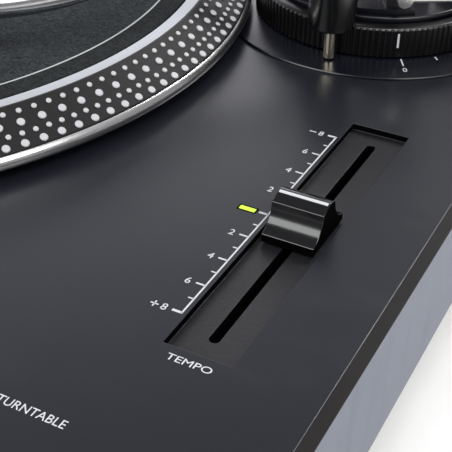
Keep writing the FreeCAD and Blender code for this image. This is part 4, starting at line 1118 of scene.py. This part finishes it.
class TURNTABLE_OT_stage(bpy.types.Operator):
    """Lay the floor and set the lamps and the camera"""

    bl_idname = "turntable.stage"
    bl_label = "Floor, light and camera"

    def execute(self, context):
        studio = context.scene.turntable_studio
        clear_selection()
        bpy.ops.mesh.primitive_plane_add(size=12.0, location=(0, 0, 0))
        floor = bpy.context.active_object
        floor.name = "floor"
        set_down(floor)
        make_finish("floor paper", studio.floor, 0.7, grain=40.0, depth=100 * MICRON, mottle=0.01)
        coat(floor, "floor paper")
        lamps = (
            ("softbox_key", (1.50, -0.60, 1.85), (1.5, 1.5), 43.0, (1.0, 0.99, 0.97)),
            ("softbox_high", (0.42, -1.02, 1.90), (1.1, 0.35), 8.0, (1.0, 1.0, 1.0)),
            ("softbox_edge", (0.46, 1.34, 1.36), (0.40, 0.34), 9.0, (1.0, 0.99, 0.98)),
            ("softbox_front", (-0.56, -1.40, 1.36), (1.4, 1.10), 26.0, (0.97, 1.0, 0.975)),
        )
        target = Vector((0.05, -0.02, DECK))
        for name, place, (wide, tall), power, colour in lamps:
            clear_selection()
            aim = (target - Vector(place)).to_track_quat("-Z", "Y").to_euler()
            bpy.ops.object.light_add(type="AREA", location=place, rotation=aim)
            lamp = bpy.context.active_object
            lamp.name = name
            lamp.data.shape, lamp.data.size, lamp.data.size_y = "RECTANGLE", wide, tall
            lamp.data.energy, lamp.data.color = power * studio.light, colour
        self.surround(context)
        self.camera(context, studio)
        return {"FINISHED"}

    def surround(self, context):
        """A pale backdrop near the horizon that darkens higher up."""
        shift, side_share, front_share = 0.42, 0.6, -0.9
        lowest, falloff, strength, brightest, everywhere = 0.05, -6.5, 0.0114, 2.4, 0.27
        world = bpy.data.worlds.new("studio")
        world.use_nodes = True
        tree = world.node_tree
        heading = add_node(tree, "ShaderNodeTexCoord").outputs["Generated"]
        side, ahead, rise = add_node(tree, "ShaderNodeSeparateXYZ", Vector=heading).outputs
        away = calc(tree, "MAXIMUM", calc(tree, "ADD", side, shift), 0.0)
        front = calc(tree, "MAXIMUM", calc(tree, "MULTIPLY", ahead, front_share), 0.0)
        height = calc(tree, "ADD", calc(tree, "MULTIPLY_ADD", away, side_share, rise), front)
        fading = calc(tree, "POWER", calc(tree, "MAXIMUM", height, lowest), falloff)
        glow = calc(tree, "MINIMUM", calc(tree, "MULTIPLY", fading, strength), brightest)
        backdrop = tree.nodes["Background"]
        backdrop.inputs[0].default_value = (0.95, 0.945, 1.0, 1.0)
        tree.links.new(calc(tree, "ADD", glow, everywhere), backdrop.inputs[1])
        context.scene.world = world
        context.scene.view_settings.view_transform = "Standard"

    def camera(self, context, studio):
        """Looks down across the slider from the player's front right."""
        turn, rise, roll = math.radians(27.09), math.radians(35.02), math.radians(1.01)
        eye = SLIDER + Vector((0.09622, -0.23691, DECK + 0.17767))
        back = Vector((math.sin(turn) * math.cos(rise), -math.cos(turn) * math.cos(rise), math.sin(rise)))
        across = Vector((0, 0, 1)).cross(back).normalized()
        upward = back.cross(across)
        right = math.cos(roll) * across + math.sin(roll) * upward
        upward = math.cos(roll) * upward - math.sin(roll) * across
        clear_selection()
        bpy.ops.object.camera_add(location=eye)
        camera = bpy.context.active_object
        camera.name = "camera"
        camera.rotation_euler = Matrix((right, upward, back)).transposed().to_euler()
        camera.data.sensor_width, camera.data.lens = 36.0, studio.lens
        camera.data.clip_start, camera.data.clip_end = 0.01, 50.0
        context.scene.camera = camera


class TURNTABLE_PT_panel(bpy.types.Panel):
    """Lists the steps and the settings"""

    bl_idname = "TURNTABLE_PT_panel"
    bl_label = "Turntable"
    bl_space_type = "VIEW_3D"
    bl_region_type = "UI"
    bl_category = "Turntable"

    def draw(self, context):
        for step in STEPS:
            self.layout.operator(step.bl_idname)
        for key, group in SETTINGS.items():
            box = self.layout.box()
            box.label(text=key.capitalize())
            for label in group.__annotations__:
                box.prop(getattr(context.scene, f"turntable_{key}"), label)


STEPS = (
    TURNTABLE_OT_finishes, TURNTABLE_OT_case, TURNTABLE_OT_platter, TURNTABLE_OT_mat, TURNTABLE_OT_tempo,
    TURNTABLE_OT_keys, TURNTABLE_OT_arm_base, TURNTABLE_OT_tonearm, TURNTABLE_OT_back, TURNTABLE_OT_stage,
)
SETTINGS = {
    "finish": FinishSettings, "case": CaseSettings, "platter": PlatterSettings, "tempo": TempoSettings,
    "tonearm": TonearmSettings, "studio": StudioSettings,
}


def register():
    for item in (*SETTINGS.values(), *STEPS, TURNTABLE_PT_panel):
        bpy.utils.register_class(item)
    for key, group in SETTINGS.items():
        setattr(bpy.types.Scene, f"turntable_{key}", bpy.props.PointerProperty(type=group))


def unregister():
    for key in SETTINGS:
        delattr(bpy.types.Scene, f"turntable_{key}")
    for item in (TURNTABLE_PT_panel, *reversed(STEPS), *SETTINGS.values()):
        bpy.utils.unregister_class(item)


def main():
    register()
    for step in STEPS:
        family, action = step.bl_idname.split(".")
        getattr(getattr(bpy.ops, family), action)()
    clear_selection()


if __name__ == "__main__":
    main()
